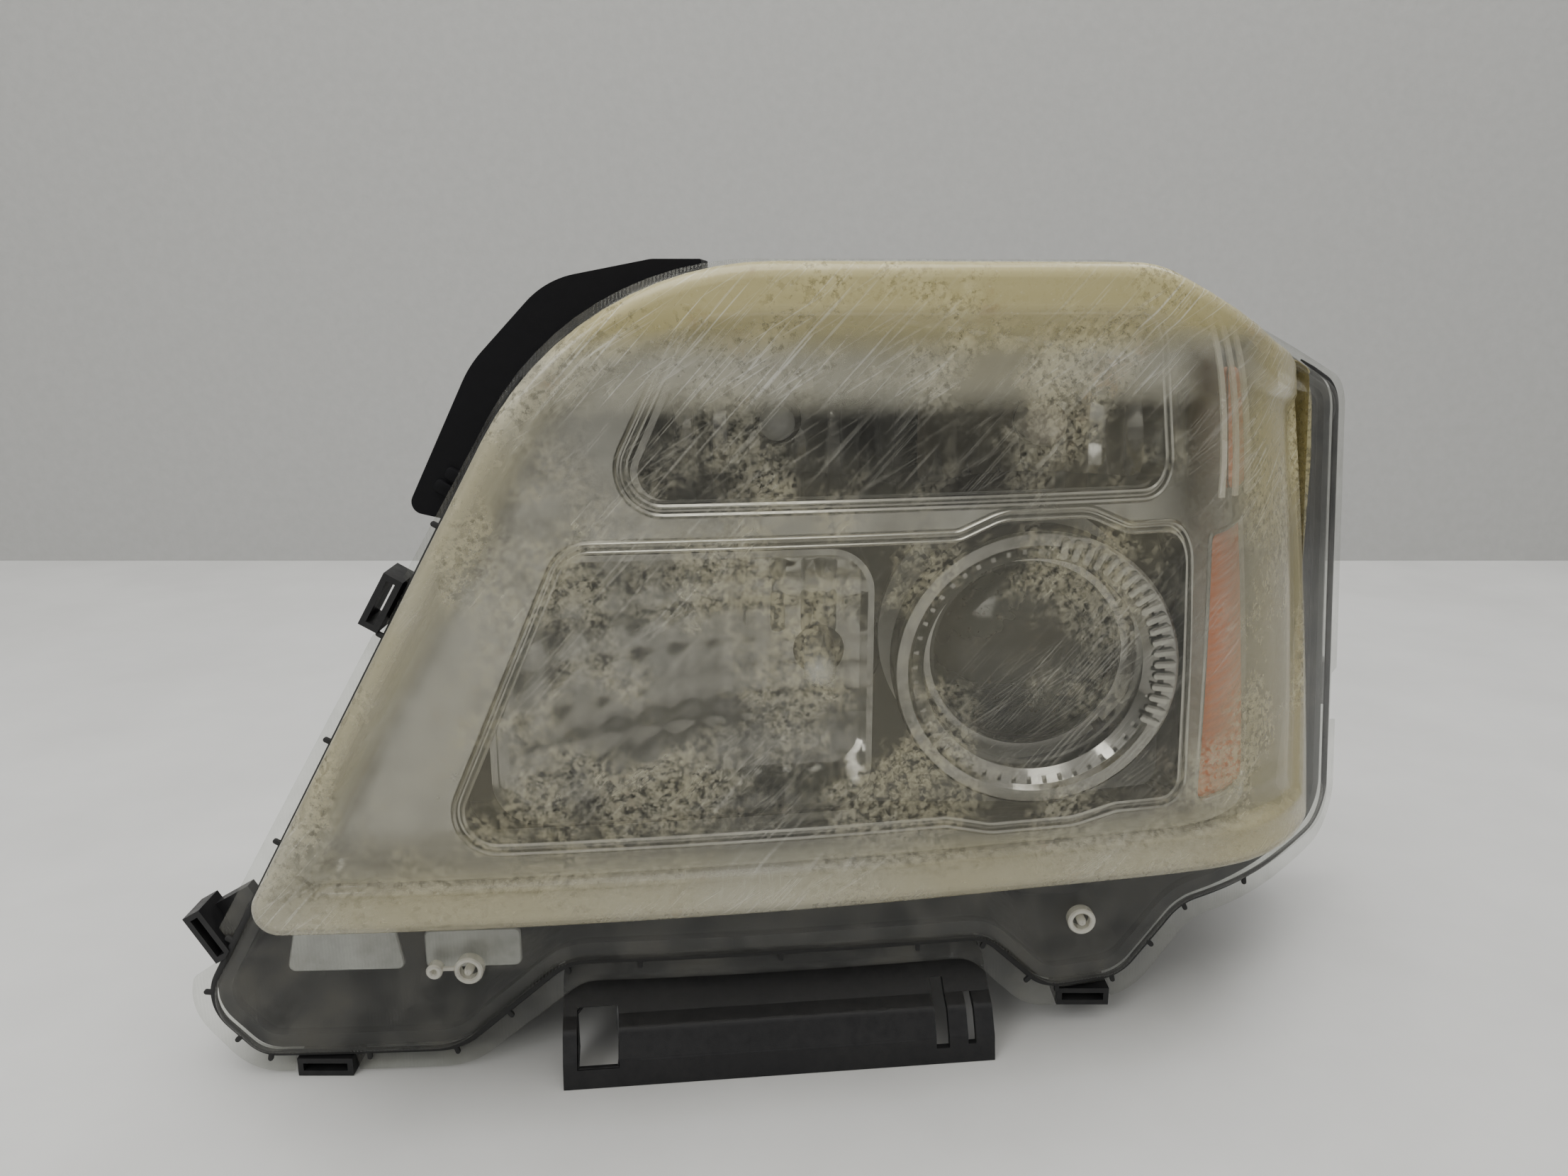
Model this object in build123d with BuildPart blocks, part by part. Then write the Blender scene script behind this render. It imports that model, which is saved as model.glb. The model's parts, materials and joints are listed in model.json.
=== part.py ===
from build123d import *

import os
from math import cos, radians, sin

# Left-hand car headlight assembly, in millimetres.
# +Z is up, -Y is the way the lamp shines and +X is outboard, towards the side of the car.
# The origin is on the floor below the middle of the whole lamp.

# ---------------------------------------------------------------- driving dimensions
LENS_WALL = 3.0
HOUSING_WALL = 2.8
FAR_Y = 170.0  # well behind everything
LEAN = 0.133  # the outboard side leans inboard by this much for each mm of height
LEAN_HEIGHT = 175.0  # the height at which the plan curves are drawn
LEAN_START_X, LEAN_FULL_X = 60.0, 165.0

PROJECTOR_X, PROJECTOR_Z = 69.0, 148.0
PROJECTOR_LENS_R = 35.0
LENS_FRONT_Y = -82.0
HIGH_X, HIGH_Z = -6.0, 141.0
PARK_X, TURN_X, UPPER_Z = -22.0, 74.0, 231.0
MARKER_X, MARKER_Z = 168.0, 112.0

PIVOT_Y, PIVOT_Z = -20.0, 208.0
PIVOT_XS = (-80.0, 126.0)
AIM_X, AIM_Z = -95.0, 75.0
BALL_R, SOCKET_GAP = 5.0, 0.3
STUD_R, STUD_GAP = 3.0, 0.08

RIM_DEPTH = 4.0  # the seal's thickness, from the lens foot back to the housing's rim
LOWER_REAR_Y, INBOARD_REAR_Y, UPPER_REAR_Y, OUTBOARD_REAR_Y = 50.0, 22.0, -8.0, 34.0

# ---------------------------------------------------------------- plan curves, X and Y
FRONT_CURVE = [
    (-250, -151), (-190, -150.1), (-120, -146), (-50, -138.3), (20, -127.3), (75, -116.2),
    (110, -108), (135, -99), (152, -86), (165, -70), (174, -54), (182, -36),
    (189, -16), (195, 0), (201, 16),
]
PARTING_CURVE = [
    (-250, -107), (-190, -106), (-120, -102), (-50, -97), (25, -88), (75, -79),
    (110, -68), (140, -55), (165, -36), (188, -14), (206, 6), (226, 28),
]

# ---------------------------------------------------------------- front outlines, X and Z, with corner radii
SHOW_OUTLINE = [(-195.5, 77), (222, 77), (222, 234), (150, 262), (98, 287.5), (-79.7, 287.5)]
SHOW_RADII = [9, 12, 12, 25, 60, 100]
SKIRT_OUTLINE = [
    (-226, 30), (-208, 10), (-138, 10), (-98, 43.5), (56, 43.5), (80, 20), (110, 20), (134, 47),
    (214, 58), (210, 238), (150, 264), (98, 285.5), (-84, 285.5),
]
SKIRT_RADII = [16, 12, 22, 22, 18, 16, 16, 20, 14, 14, 25, 60, 100]
FLANGE_OUTLINE = [
    (-236, 30), (-213, 1), (-134, 1), (-92, 34), (50, 34), (74, 9.5), (116, 9.5), (140, 38),
    (224, 49), (219, 240), (152, 266), (98, 287), (-86, 287),
]
FLANGE_RADII = [22, 22, 30, 16, 14, 24, 24, 18, 20, 16, 25, 60, 100]


def front_plane(y):
    """The plane facing the front at depth y: a sketch on it is drawn in X and Z."""
    return Plane.XZ.offset(-y)


def lean_share(x):
    """How much of the outboard side's lean a point of a plan curve takes, from 0 to 1."""
    share = min(1.0, max(0.0, (x - LEAN_START_X) / (LEAN_FULL_X - LEAN_START_X)))
    return share * share * (3 - 2 * share)


def plan_points(curve, inset, height):
    """A plan curve moved inwards by inset and leant to its place at a height."""
    moved = []
    for i, (x, y) in enumerate(curve):
        before, after = curve[max(i - 1, 0)], curve[min(i + 1, len(curve) - 1)]
        run = Vector(after[0] - before[0], after[1] - before[1]).normalized()
        shift = LEAN * (LEAN_HEIGHT - height) * lean_share(x)
        moved.append((x - run.Y * inset + shift, y + run.X * inset))
    return moved


def space_behind(curve, inset=0.0):
    """All the space behind a plan curve, as one solid."""
    with BuildPart() as space:
        for height in (-10.0, 310.0):
            points = plan_points(curve, inset, height)
            with BuildSketch(Plane.XY.offset(height)):
                with BuildLine():
                    Spline(points)
                    reach = 320 + inset
                    Polyline(
                        points[-1], (reach, points[-1][1]), (reach, FAR_Y + inset),
                        (-reach, FAR_Y + inset), (-reach, points[0][1]), points[0],
                    )
                make_face()
        loft(ruled=True)
    return space.part


def outline_block(outline, radii, y_front, y_back, grow=0.0):
    """A front outline, grown or shrunk, extruded from y_front back to y_back."""
    with BuildPart() as block:
        with BuildSketch(front_plane(y_back)):
            with BuildLine():
                FilletPolyline(*outline, radius=radii, close=True)
            make_face()
            if grow:
                offset(amount=grow, kind=Kind.INTERSECTION, mode=Mode.REPLACE)
        extrude(amount=y_back - y_front)
    return block.part


def centred_slab(x, z, width, height, y_front, y_back, radius=0.0):
    """A slab round the point (x, z) of the front view."""
    return slab(x - width / 2, x + width / 2, z - height / 2, z + height / 2, y_front, y_back, radius)


def disc(x, z, y_front, y_back, radius):
    """A plain round solid along Y."""
    with BuildPart() as solid:
        with BuildSketch(front_plane(y_back)):
            with Locations((x, z)):
                Circle(radius)
        extrude(amount=y_back - y_front)
    return solid.part


def turned(x, z, profile):
    """A solid turned about the line through (x, z) along Y, from points of radius and Y."""
    with BuildPart() as solid:
        with BuildSketch(Plane((x, 0, z))):
            with BuildLine():
                Polyline(*profile, close=True)
            make_face()
        revolve(axis=Axis((x, 0, z), (0, 1, 0)))
    return solid.part


def slab(x_low, x_high, z_low, z_high, y_front, y_back, radius=0.0):
    """A rectangular block along Y with rounded vertical-plane corners."""
    with BuildPart() as solid:
        with BuildSketch(front_plane(y_back)):
            with Locations(((x_low + x_high) / 2, (z_low + z_high) / 2)):
                if radius:
                    RectangleRounded(x_high - x_low, z_high - z_low, radius)
                else:
                    Rectangle(x_high - x_low, z_high - z_low)
        extrude(amount=y_back - y_front)
    return solid.part


# clips that latch the lens flange to the housing
# x and z of each clip's middle on the flange's edge, the edge's direction in degrees,
# the seal's front Y there, and how far the clip's loop stands out past the flange's edge
CLIPS = [
    (-219.7, 58.0, -60.0, -106.5, 7.0),
    (-186.0, 1.0, 0.0, -106.0, 0.8),
    (96.0, 9.5, 0.0, -74.0, 0.8),
    (222.0, 105.0, 90.0, 30.0, 4.0),
    (-150.8, 176.0, -120.0, -104.0, 6.0),
]
CLIP_LENGTH, CLIP_REACH, CLIP_WALL, CLIP_GAP = 20.0, 7.0, 2.0, 1.0
CLIP_FRONT, CLIP_BACK, ROOT_FRONT, ROOT_REACH = 5.0, 10.0, 4.6, 14.0


def clip_plane(x, z, turn, seal_y):
    """A clip's own plane: X along the flange's edge, Y inwards, facing the front."""
    return Plane(origin=(x, seal_y, z), x_dir=(cos(radians(turn)), 0, sin(radians(turn))), z_dir=(0, -1, 0))


def clip_block(plane, along, out, inward, back, front):
    """A block in a clip's own directions, from out past the edge to inward of it."""
    with BuildPart() as block:
        with BuildSketch(plane.offset(-back)):
            with Locations((0, (inward - out) / 2)):
                Rectangle(along, inward + out)
        extrude(amount=back + front)
    return block.part


def save(piece, name):
    """Label a finished piece and write it."""
    piece.part.label = name
    export_step(piece.part, f"parts/{name}.step")


def drop_offcuts(piece, smallest):
    """Drop the solids under a volume that a trim leaves beside a piece."""
    for solid in piece.solids():
        if solid.volume < smallest:
            add(solid, mode=Mode.SUBTRACT)


os.makedirs("parts", exist_ok=True)

behind_front = space_behind(FRONT_CURVE)
behind_front_inner = space_behind(FRONT_CURVE, LENS_WALL)
behind_parting = space_behind(PARTING_CURVE)
behind_rim = space_behind(PARTING_CURVE, RIM_DEPTH)

# ---------------------------------------------------------------- outer lens
SKIRT_DEPTH = 8.0
FLANGE_THICKNESS = 3.0
show_space = outline_block(SHOW_OUTLINE, SHOW_RADII, -155, 60) & behind_front
show_hollow = outline_block(SHOW_OUTLINE, SHOW_RADII, -155, 60, -LENS_WALL) & behind_front_inner
skirt_space = outline_block(SKIRT_OUTLINE, SKIRT_RADII, -155, 60) & space_behind(PARTING_CURVE, -SKIRT_DEPTH)
skirt_hollow = outline_block(SKIRT_OUTLINE, SKIRT_RADII, -155, 60, -LENS_WALL)
skirt_hollow = skirt_hollow & space_behind(PARTING_CURVE, LENS_WALL - SKIRT_DEPTH)
flange_space = outline_block(FLANGE_OUTLINE, FLANGE_RADII, -155, 60)
flange_space = flange_space & space_behind(PARTING_CURVE, -FLANGE_THICKNESS)

with BuildPart() as outer_lens:
    add(show_space)
    add(skirt_space)
    add(flange_space)
    add(show_hollow, mode=Mode.SUBTRACT)
    add(skirt_hollow, mode=Mode.SUBTRACT)
    add(behind_parting, mode=Mode.SUBTRACT)
    for x, z, turn, seal_y, stand in CLIPS:
        plane = clip_plane(x, z, turn, seal_y)
        notch = clip_block(plane, CLIP_LENGTH + 2 * CLIP_GAP, 14, CLIP_REACH - stand + CLIP_GAP, 20, 20)
        add(notch - skirt_space - show_space, mode=Mode.SUBTRACT)
save(outer_lens, "outer_lens")

# ---------------------------------------------------------------- lens seal, in the housing's channel
SEAL_WIDTH = 5.0
seal_layer = slab(-300, 300, -5, 305, -140, 80) & behind_parting
with BuildPart() as lens_seal:
    add(outline_block(SKIRT_OUTLINE, SKIRT_RADII, -120, 60, 1.0))
    add(outline_block(SKIRT_OUTLINE, SKIRT_RADII, -130, 70, 1.0 - SEAL_WIDTH), mode=Mode.SUBTRACT)
    add(seal_layer, mode=Mode.INTERSECT)
    add(slab(-300, 300, -5, 305, -140, 90) & behind_rim, mode=Mode.SUBTRACT)
save(lens_seal, "lens_seal")

# ---------------------------------------------------------------- housing
# Boxes of different depth, two round wells behind the lower lamps, and the rim that carries the seal.
LOWER_BOX = (-30, 147, 46, 200)
INBOARD_BOX = (-220, -24, 40, 200)
UPPER_BOX = (-110, 150, 190, 280)
OUTBOARD_BOX = (140, 206, 62, 236)
BOX_RADIUS = 9.0
BOX_STEP = 5.0  # how far the boxes stand inside the rim
LOW_WELL_R, LOW_WELL_Y, LOW_PORT_R = 46.0, 118.0, 37.0
HIGH_WELL_R, HIGH_WELL_Y, HIGH_PORT_R = 29.0, 74.0, 22.0
SOCKET_HOLE_R = 12.0
LUG_REACH = 3.0  # how far a bayonet lug stands out from its neck
PORT_GAP = 0.3
FEET = [(-168.0, INBOARD_REAR_Y - 2), (66.0, LOWER_REAR_Y - 4)]
FOOT_WIDTH, FOOT_FRONT_Y = 14.0, -6.0
COLLAR_Y = -12.0
TAB_HOLE_R, TAB_R, TAB_THICKNESS = 5.0, 12.0, 8.0
TOP_TABS = [(-58.0, 20.0, 258.0), (118.0, 22.0, 246.0)]
SIDE_TAB = (216.42, 46.0, 66.0)


def rim_block(y_front, y_back, grow):
    """The skirt outline, grown, as a block."""
    return outline_block(SKIRT_OUTLINE, SKIRT_RADII, y_front, y_back, grow)


def housing_form(shrink):
    """The housing's outer form, or with shrink its hollow."""
    boxes = [
        (LOWER_BOX, LOWER_REAR_Y),
        (INBOARD_BOX, INBOARD_REAR_Y),
        (UPPER_BOX, UPPER_REAR_Y),
        (OUTBOARD_BOX, OUTBOARD_REAR_Y),
    ]
    with BuildPart() as form:
        for (x_low, x_high, z_low, z_high), rear in boxes:
            add(
                slab(
                    x_low + shrink, x_high - shrink, z_low + shrink, z_high - shrink,
                    -60, rear - shrink, BOX_RADIUS - shrink,
                )
            )
        add(rim_block(-80, 80, -BOX_STEP - shrink), mode=Mode.INTERSECT)
        add(rim_block(-130, COLLAR_Y - shrink, 1.0 - shrink))
        add(disc(PROJECTOR_X, PROJECTOR_Z, -30, LOW_WELL_Y - shrink, LOW_WELL_R - shrink))
        add(disc(HIGH_X, HIGH_Z, -30, HIGH_WELL_Y - shrink, HIGH_WELL_R - shrink))
    return form.part


def bayonet_lugs(x, z, y_front, y_back, neck_r, turn, width):
    """Three lugs round a neck, or the notches that let them through."""
    with BuildPart() as lugs:
        with BuildSketch(front_plane(y_back)):
            with Locations((x, z)):
                with PolarLocations(neck_r + LUG_REACH / 2 - 0.6, 3, start_angle=turn):
                    Rectangle(LUG_REACH + 1.2, width)
        extrude(amount=y_back - y_front)
    return lugs.part


# x, z, wall's rear, radius of every port in the housing's rear walls
PORTS = [
    (PROJECTOR_X, PROJECTOR_Z, LOW_WELL_Y, LOW_PORT_R),
    (HIGH_X, HIGH_Z, HIGH_WELL_Y, HIGH_PORT_R),
    (PARK_X, UPPER_Z, UPPER_REAR_Y, SOCKET_HOLE_R),
    (TURN_X, UPPER_Z, UPPER_REAR_Y, SOCKET_HOLE_R),
    (MARKER_X, MARKER_Z, OUTBOARD_REAR_Y, SOCKET_HOLE_R),
]
NOTCH_TURN, LUG_TURN = 60.0, 15.0


def lug_width(port_r):
    """Bigger ports have wider lugs."""
    return 5.0 + 0.12 * port_r


outboard_zone = slab(128, 240, 40, 250, -80, OUTBOARD_REAR_Y)
outboard_collar = (rim_block(-60, 60, 1.0) & outboard_zone) - rim_block(-70, 70, 1.0 - HOUSING_WALL)
housing_hollow = housing_form(HOUSING_WALL)

with BuildPart() as housing:
    add(housing_form(0.0))
    add(outboard_collar)
    # mounting tabs on the top: an ear with a vertical hole and two gussets
    for x, y, z in TOP_TABS:
        with BuildSketch(Plane.XY.offset(z - TAB_THICKNESS / 2)):
            with Locations((x, (y + UPPER_REAR_Y) / 2 - 2)):
                Rectangle(2 * TAB_R, y - UPPER_REAR_Y + 4)
            with Locations((x, y)):
                Circle(TAB_R)
        extrude(amount=TAB_THICKNESS)
        for side in (-1, 1):
            with BuildSketch(Plane.YZ.offset(x + side * (TAB_R - 1.5) - 1.5)):
                with BuildLine():
                    Polyline((UPPER_REAR_Y - 2, z - 26), (UPPER_REAR_Y - 2, z), (y - 2, z), close=True)
                make_face()
            extrude(amount=3.0)
    # side tab: an ear with a hole along Y
    with BuildSketch(front_plane(SIDE_TAB[1] + TAB_THICKNESS / 2)):
        with Locations((SIDE_TAB[0], SIDE_TAB[2])):
            Circle(TAB_R + 3)
        with Locations((SIDE_TAB[0] - 17, SIDE_TAB[2] + 10)):
            Rectangle(34, 30)
    extrude(amount=TAB_THICKNESS)
    for rise in (-2, 22):
        low = SIDE_TAB[2] + rise
        add(slab(SIDE_TAB[0] - 32, SIDE_TAB[0] - 12, low, low + 3, 16, SIDE_TAB[1]))
    # feet under the rear, level with the floor
    for x, y_back in FEET:
        add(slab(x - FOOT_WIDTH / 2, x + FOOT_WIDTH / 2, 0, 60, FOOT_FRONT_Y, y_back))
    # stiffening ribs across the rear walls
    for x in (-178, -62):
        rib = slab(x, x + 2.5, 52, 190, INBOARD_REAR_Y - 1, INBOARD_REAR_Y + 5)
        add(rib & rim_block(0, 80, -BOX_STEP - 4))
    for z in (84, 222):
        add(slab(149, 197, z, z + 2.5, OUTBOARD_REAR_Y - 1, OUTBOARD_REAR_Y + 4))
    # hollow
    add(housing_hollow, mode=Mode.SUBTRACT)
    # ports, with the notches that let the bayonet lugs in
    for x, z, rear, port_r in PORTS:
        add(disc(x, z, rear - 12, rear + 12, port_r), mode=Mode.SUBTRACT)
        notch = bayonet_lugs(x, z, rear - 6, rear + 6, port_r + 0.5, NOTCH_TURN, lug_width(port_r) + 1.0)
        add(notch, mode=Mode.SUBTRACT)
    add(disc(AIM_X, AIM_Z, 0, 60, STUD_R + 1.0), mode=Mode.SUBTRACT)
    for x in PIVOT_XS:
        add(disc(x, PIVOT_Z, -14, 60, 2.0), mode=Mode.SUBTRACT)
    for x, y, z in TOP_TABS:
        with BuildSketch(Plane.XY.offset(z - TAB_THICKNESS)):
            with Locations((x, y)):
                Circle(TAB_HOLE_R)
        extrude(amount=2 * TAB_THICKNESS, mode=Mode.SUBTRACT)
    add(disc(SIDE_TAB[0], SIDE_TAB[2], 36, 60, TAB_HOLE_R), mode=Mode.SUBTRACT)
    # the parting line cuts the rim
    add(slab(-300, 300, -20, 320, -200, 160) - behind_rim, mode=Mode.SUBTRACT)

# The moulding is written as simple pieces that meet face to face: x, z and y limits of each.
ROOM_TOP_Z = 201.0
HOUSING_PIECES = {
    "housing_rim": (-300, 300, -20, 320, -200, COLLAR_Y),
    "housing_top": (-300, 300, ROOM_TOP_Z, 320, COLLAR_Y, LOWER_REAR_Y),
    "housing_inboard": (-300, LOWER_BOX[0], -20, ROOM_TOP_Z, COLLAR_Y, LOWER_REAR_Y),
    "housing_middle": (LOWER_BOX[0], LOWER_BOX[1], -20, ROOM_TOP_Z, COLLAR_Y, LOWER_REAR_Y),
    "housing_outboard": (LOWER_BOX[1], 300, -20, ROOM_TOP_Z, COLLAR_Y, LOWER_REAR_Y),
    "high_beam_well": (-300, HIGH_X + HIGH_WELL_R, -20, 320, LOWER_REAR_Y, FAR_Y),
    "low_beam_well": (PROJECTOR_X - LOW_WELL_R, 300, -20, 320, LOWER_REAR_Y, FAR_Y),
}
for name, limits in HOUSING_PIECES.items():
    with BuildPart() as housing_piece:
        add(housing.part)
        add(slab(*limits), mode=Mode.INTERSECT)
        drop_offcuts(housing_piece, 5.0)
    save(housing_piece, name)

# ---------------------------------------------------------------- bezel and upper reflector
BEZEL_INSET, BEZEL_THICKNESS, BEZEL_WALL_DEPTH, BEZEL_END_Y = 22.0, 3.0, 14.0, -26.0
LOWER_WINDOW = [(-131, 98), (124, 98), (121, 196), (-88, 196)]
UPPER_WINDOW = [(-75, 212), (112, 212), (105, 270), (-47, 270)]
MARKER_WINDOW = (133.0, 160.0, 94.0, 192.0)
WINDOW_RADIUS = 11.0
ARCH_R = 56.0


def window_block(corners, grow, y_front, y_back):
    """A window's space, with rounded corners."""
    return outline_block(corners, [WINDOW_RADIUS] * len(corners), y_front, y_back, grow)


def lower_window_space(grow):
    """The lower window, arched over the projector."""
    arch = disc(PROJECTOR_X, PROJECTOR_Z, -160, 40, ARCH_R + grow)
    return window_block(LOWER_WINDOW, grow, -160, 40) + arch


bezel_back = space_behind(FRONT_CURVE, BEZEL_INSET + BEZEL_THICKNESS)
bezel_wall_back = space_behind(FRONT_CURVE, BEZEL_INSET + BEZEL_WALL_DEPTH)
bezel_front = space_behind(FRONT_CURVE, BEZEL_INSET)
with BuildPart() as bezel:
    add(outline_block(SHOW_OUTLINE, SHOW_RADII, -150, 40, -6.0) & bezel_front)
    add(
        outline_block(SHOW_OUTLINE, SHOW_RADII, -160, 50, -6.0 - BEZEL_THICKNESS) & bezel_back,
        mode=Mode.SUBTRACT,
    )
    add(lower_window_space(BEZEL_THICKNESS) & bezel_front)
    add(lower_window_space(0.0), mode=Mode.SUBTRACT)
    add(window_block(UPPER_WINDOW, 0.0, -160, 50), mode=Mode.SUBTRACT)
    add(slab(*MARKER_WINDOW, -160, 50, 4.0), mode=Mode.SUBTRACT)
    add(bezel_wall_back, mode=Mode.SUBTRACT)
    add(slab(-300, 300, 0, 300, BEZEL_END_Y, 100), mode=Mode.SUBTRACT)
save(bezel, "bezel")

MARKER_GAP = 0.2
with BuildPart() as side_marker_lens:
    x_low, x_high, z_low, z_high = MARKER_WINDOW
    add(
        slab(
            x_low + MARKER_GAP, x_high - MARKER_GAP, z_low + MARKER_GAP, z_high - MARKER_GAP,
            -130, 30, 4.0 - MARKER_GAP,
        )
    )
    add(space_behind(FRONT_CURVE, BEZEL_INSET + 1.0), mode=Mode.INTERSECT)
    add(space_behind(FRONT_CURVE, BEZEL_INSET + 5.0), mode=Mode.SUBTRACT)
save(side_marker_lens, "side_marker_lens")


def funnel(x, z, apex_y, apex_r, corners, mouth_y, grow=0.0):
    """The space of a reflector, from the round end at its apex to its mouth and on to the front."""
    x_low, x_high, z_low, z_high = corners
    with BuildPart() as space:
        with BuildSketch(front_plane(apex_y)):
            with Locations((x, z)):
                Circle(apex_r + grow)
        with BuildSketch(front_plane(mouth_y)):
            with Locations(((x_low + x_high) / 2, (z_low + z_high) / 2)):
                RectangleRounded(x_high - x_low + 2 * grow, z_high - z_low + 2 * grow, 14)
        loft()
        with BuildSketch(front_plane(mouth_y)):
            with Locations(((x_low + x_high) / 2, (z_low + z_high) / 2)):
                RectangleRounded(x_high - x_low + 2 * grow, z_high - z_low + 2 * grow, 14)
        extrude(amount=45 + grow)
    return space.part


REFLECTOR_WALL = 2.5
UPPER_CELLS = [(PARK_X, (-74, 22, 212, 271)), (TURN_X, (26, 114, 212, 271))]
UPPER_REFLECTOR_REAR_Y, UPPER_APEX_Y, UPPER_MOUTH_Y = -42.0, -45.0, -80.0
GLASS_HOLE_R = 9.0
reflector_front = space_behind(FRONT_CURVE, BEZEL_INSET + BEZEL_THICKNESS + 0.3)
with BuildPart() as turn_reflector:
    for x, corners in UPPER_CELLS:
        add(funnel(x, UPPER_Z, UPPER_REFLECTOR_REAR_Y, 16.0, corners, UPPER_MOUTH_Y, REFLECTOR_WALL))
    add(slab(18, 30, 209.5, 273.5, UPPER_MOUTH_Y, UPPER_MOUTH_Y + 4))
    for x, corners in UPPER_CELLS:
        add(funnel(x, UPPER_Z, UPPER_APEX_Y, 14.0, corners, UPPER_MOUTH_Y), mode=Mode.SUBTRACT)
        add(disc(x, UPPER_Z, -60, -30, GLASS_HOLE_R), mode=Mode.SUBTRACT)
    add(slab(-70, 110, 214, 269, -140, UPPER_MOUTH_Y - 6, 10), mode=Mode.SUBTRACT)
    add(reflector_front, mode=Mode.INTERSECT)
    add(outline_block(SHOW_OUTLINE, SHOW_RADII, -150, 40, -9.5), mode=Mode.INTERSECT)
save(turn_reflector, "turn_reflector")

# ---------------------------------------------------------------- carrier, which tilts to aim the beams
PLATE_FRONT_Y, PLATE_REAR_Y = -38.0, -34.0
PLATE = (-116.0, 136.0, 66.0, 214.0)
HIGH_PLATE_HOLE_R, LOW_PLATE_HOLE_R = 25.0, 42.0
HIGH_CORNERS = (-119.0, 10.0, 97.0, 189.0)
HIGH_MOUTH_Y, HIGH_APEX_Y, HIGH_FRONT_INSET = -78.0, -42.0, 43.0
LEGS = [(-100.0, 106.0), (-100.0, 178.0), (-34.0, 104.0), (-34.0, 182.0)]
LEG_R = 4.0
SOCKET_HALF, SOCKET_REAR_Y, NECK_ROOM_R = 9.0, -14.5, 4.1
SOCKETS = [(PIVOT_XS[0], PIVOT_Z), (PIVOT_XS[1], PIVOT_Z), (AIM_X, AIM_Z)]

with BuildPart() as carrier_frame:
    add(slab(*PLATE, PLATE_FRONT_Y, PLATE_REAR_Y, 12.0))
    # stiffening lip round the back of the plate
    lip = slab(*PLATE, PLATE_REAR_Y, PLATE_REAR_Y + 5, 12.0)
    x_low, x_high, z_low, z_high = PLATE
    within = (x_low + 2.5, x_high - 2.5, z_low + 2.5, z_high - 2.5)
    add(lip - slab(*within, PLATE_REAR_Y - 1, PLATE_REAR_Y + 6, 9.5))
    # seats for the ball sockets
    for x, z in SOCKETS:
        seat = centred_slab(x, z, 2 * SOCKET_HALF, 2 * SOCKET_HALF, PLATE_REAR_Y, PLATE_REAR_Y + 6, 3.0)
        add(seat, mode=Mode.SUBTRACT)
    for centre in ((-60.0, 96.0), (-60.0, 172.0)):
        add(disc(*centre, PLATE_FRONT_Y - 1, PLATE_REAR_Y + 1, 12.0), mode=Mode.SUBTRACT)
    add(disc(HIGH_X, HIGH_Z, PLATE_FRONT_Y - 1, PLATE_REAR_Y + 6, HIGH_PLATE_HOLE_R), mode=Mode.SUBTRACT)
    low_hole = disc(PROJECTOR_X, PROJECTOR_Z, PLATE_FRONT_Y - 1, PLATE_REAR_Y + 6, LOW_PLATE_HOLE_R)
    add(low_hole, mode=Mode.SUBTRACT)
save(carrier_frame, "carrier_frame")

# twist-lock collar: a tube with a groove for the bulb's three lugs
COLLAR_R, COLLAR_BORE_R, COLLAR_LENGTH = 21.0, 14.0, 9.0
GROOVE = (1.5, 5.0)  # start and end of the groove behind the wall it stands on


def collar(x, z, wall_y, hole_r):
    """A bulb's collar, standing behind a wall whose rear face is at wall_y."""
    ring = disc(x, z, wall_y, wall_y + COLLAR_LENGTH, COLLAR_R)
    ring = ring - disc(x, z, wall_y - 10, wall_y + COLLAR_LENGTH + 1, hole_r)
    ring = ring - disc(x, z, wall_y, wall_y + COLLAR_LENGTH + 1, COLLAR_BORE_R)
    groove_r = COLLAR_BORE_R + LUG_REACH + 0.6
    ring = ring - disc(x, z, wall_y + GROOVE[0], wall_y + GROOVE[1], groove_r)
    rear = wall_y + COLLAR_LENGTH + 1
    return ring - bayonet_lugs(x, z, wall_y + GROOVE[1], rear, COLLAR_BORE_R + 0.6, NOTCH_TURN, 8.0)


with BuildPart() as high_beam_reflector:
    add(funnel(HIGH_X, HIGH_Z, PLATE_FRONT_Y, 19.0, HIGH_CORNERS, HIGH_MOUTH_Y, REFLECTOR_WALL))
    for x, z in LEGS:
        add(disc(x, z, HIGH_MOUTH_Y, PLATE_FRONT_Y, LEG_R))
    add(funnel(HIGH_X, HIGH_Z, HIGH_APEX_Y, 17.0, HIGH_CORNERS, HIGH_MOUTH_Y), mode=Mode.SUBTRACT)
    add(slab(-119, 10, 97, 189, -140, HIGH_MOUTH_Y - 44, 14), mode=Mode.SUBTRACT)
    add(space_behind(FRONT_CURVE, HIGH_FRONT_INSET), mode=Mode.INTERSECT)
    add(disc(HIGH_X, HIGH_Z, HIGH_APEX_Y - 1, PLATE_FRONT_Y + 1, 10.0), mode=Mode.SUBTRACT)
    add(collar(HIGH_X, HIGH_Z, PLATE_FRONT_Y, 10.0))
save(high_beam_reflector, "high_beam_reflector")

with BuildPart() as reflector_screws:
    for x, z in LEGS:
        add(disc(x, z, PLATE_REAR_Y, PLATE_REAR_Y + 2.4, 3.4))
        with BuildSketch(front_plane(PLATE_REAR_Y + 2.4)):
            with Locations((x, z)):
                RegularPolygon(1.7, 6)
        extrude(amount=1.6, mode=Mode.SUBTRACT)
save(reflector_screws, "reflector_screws")

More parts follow.
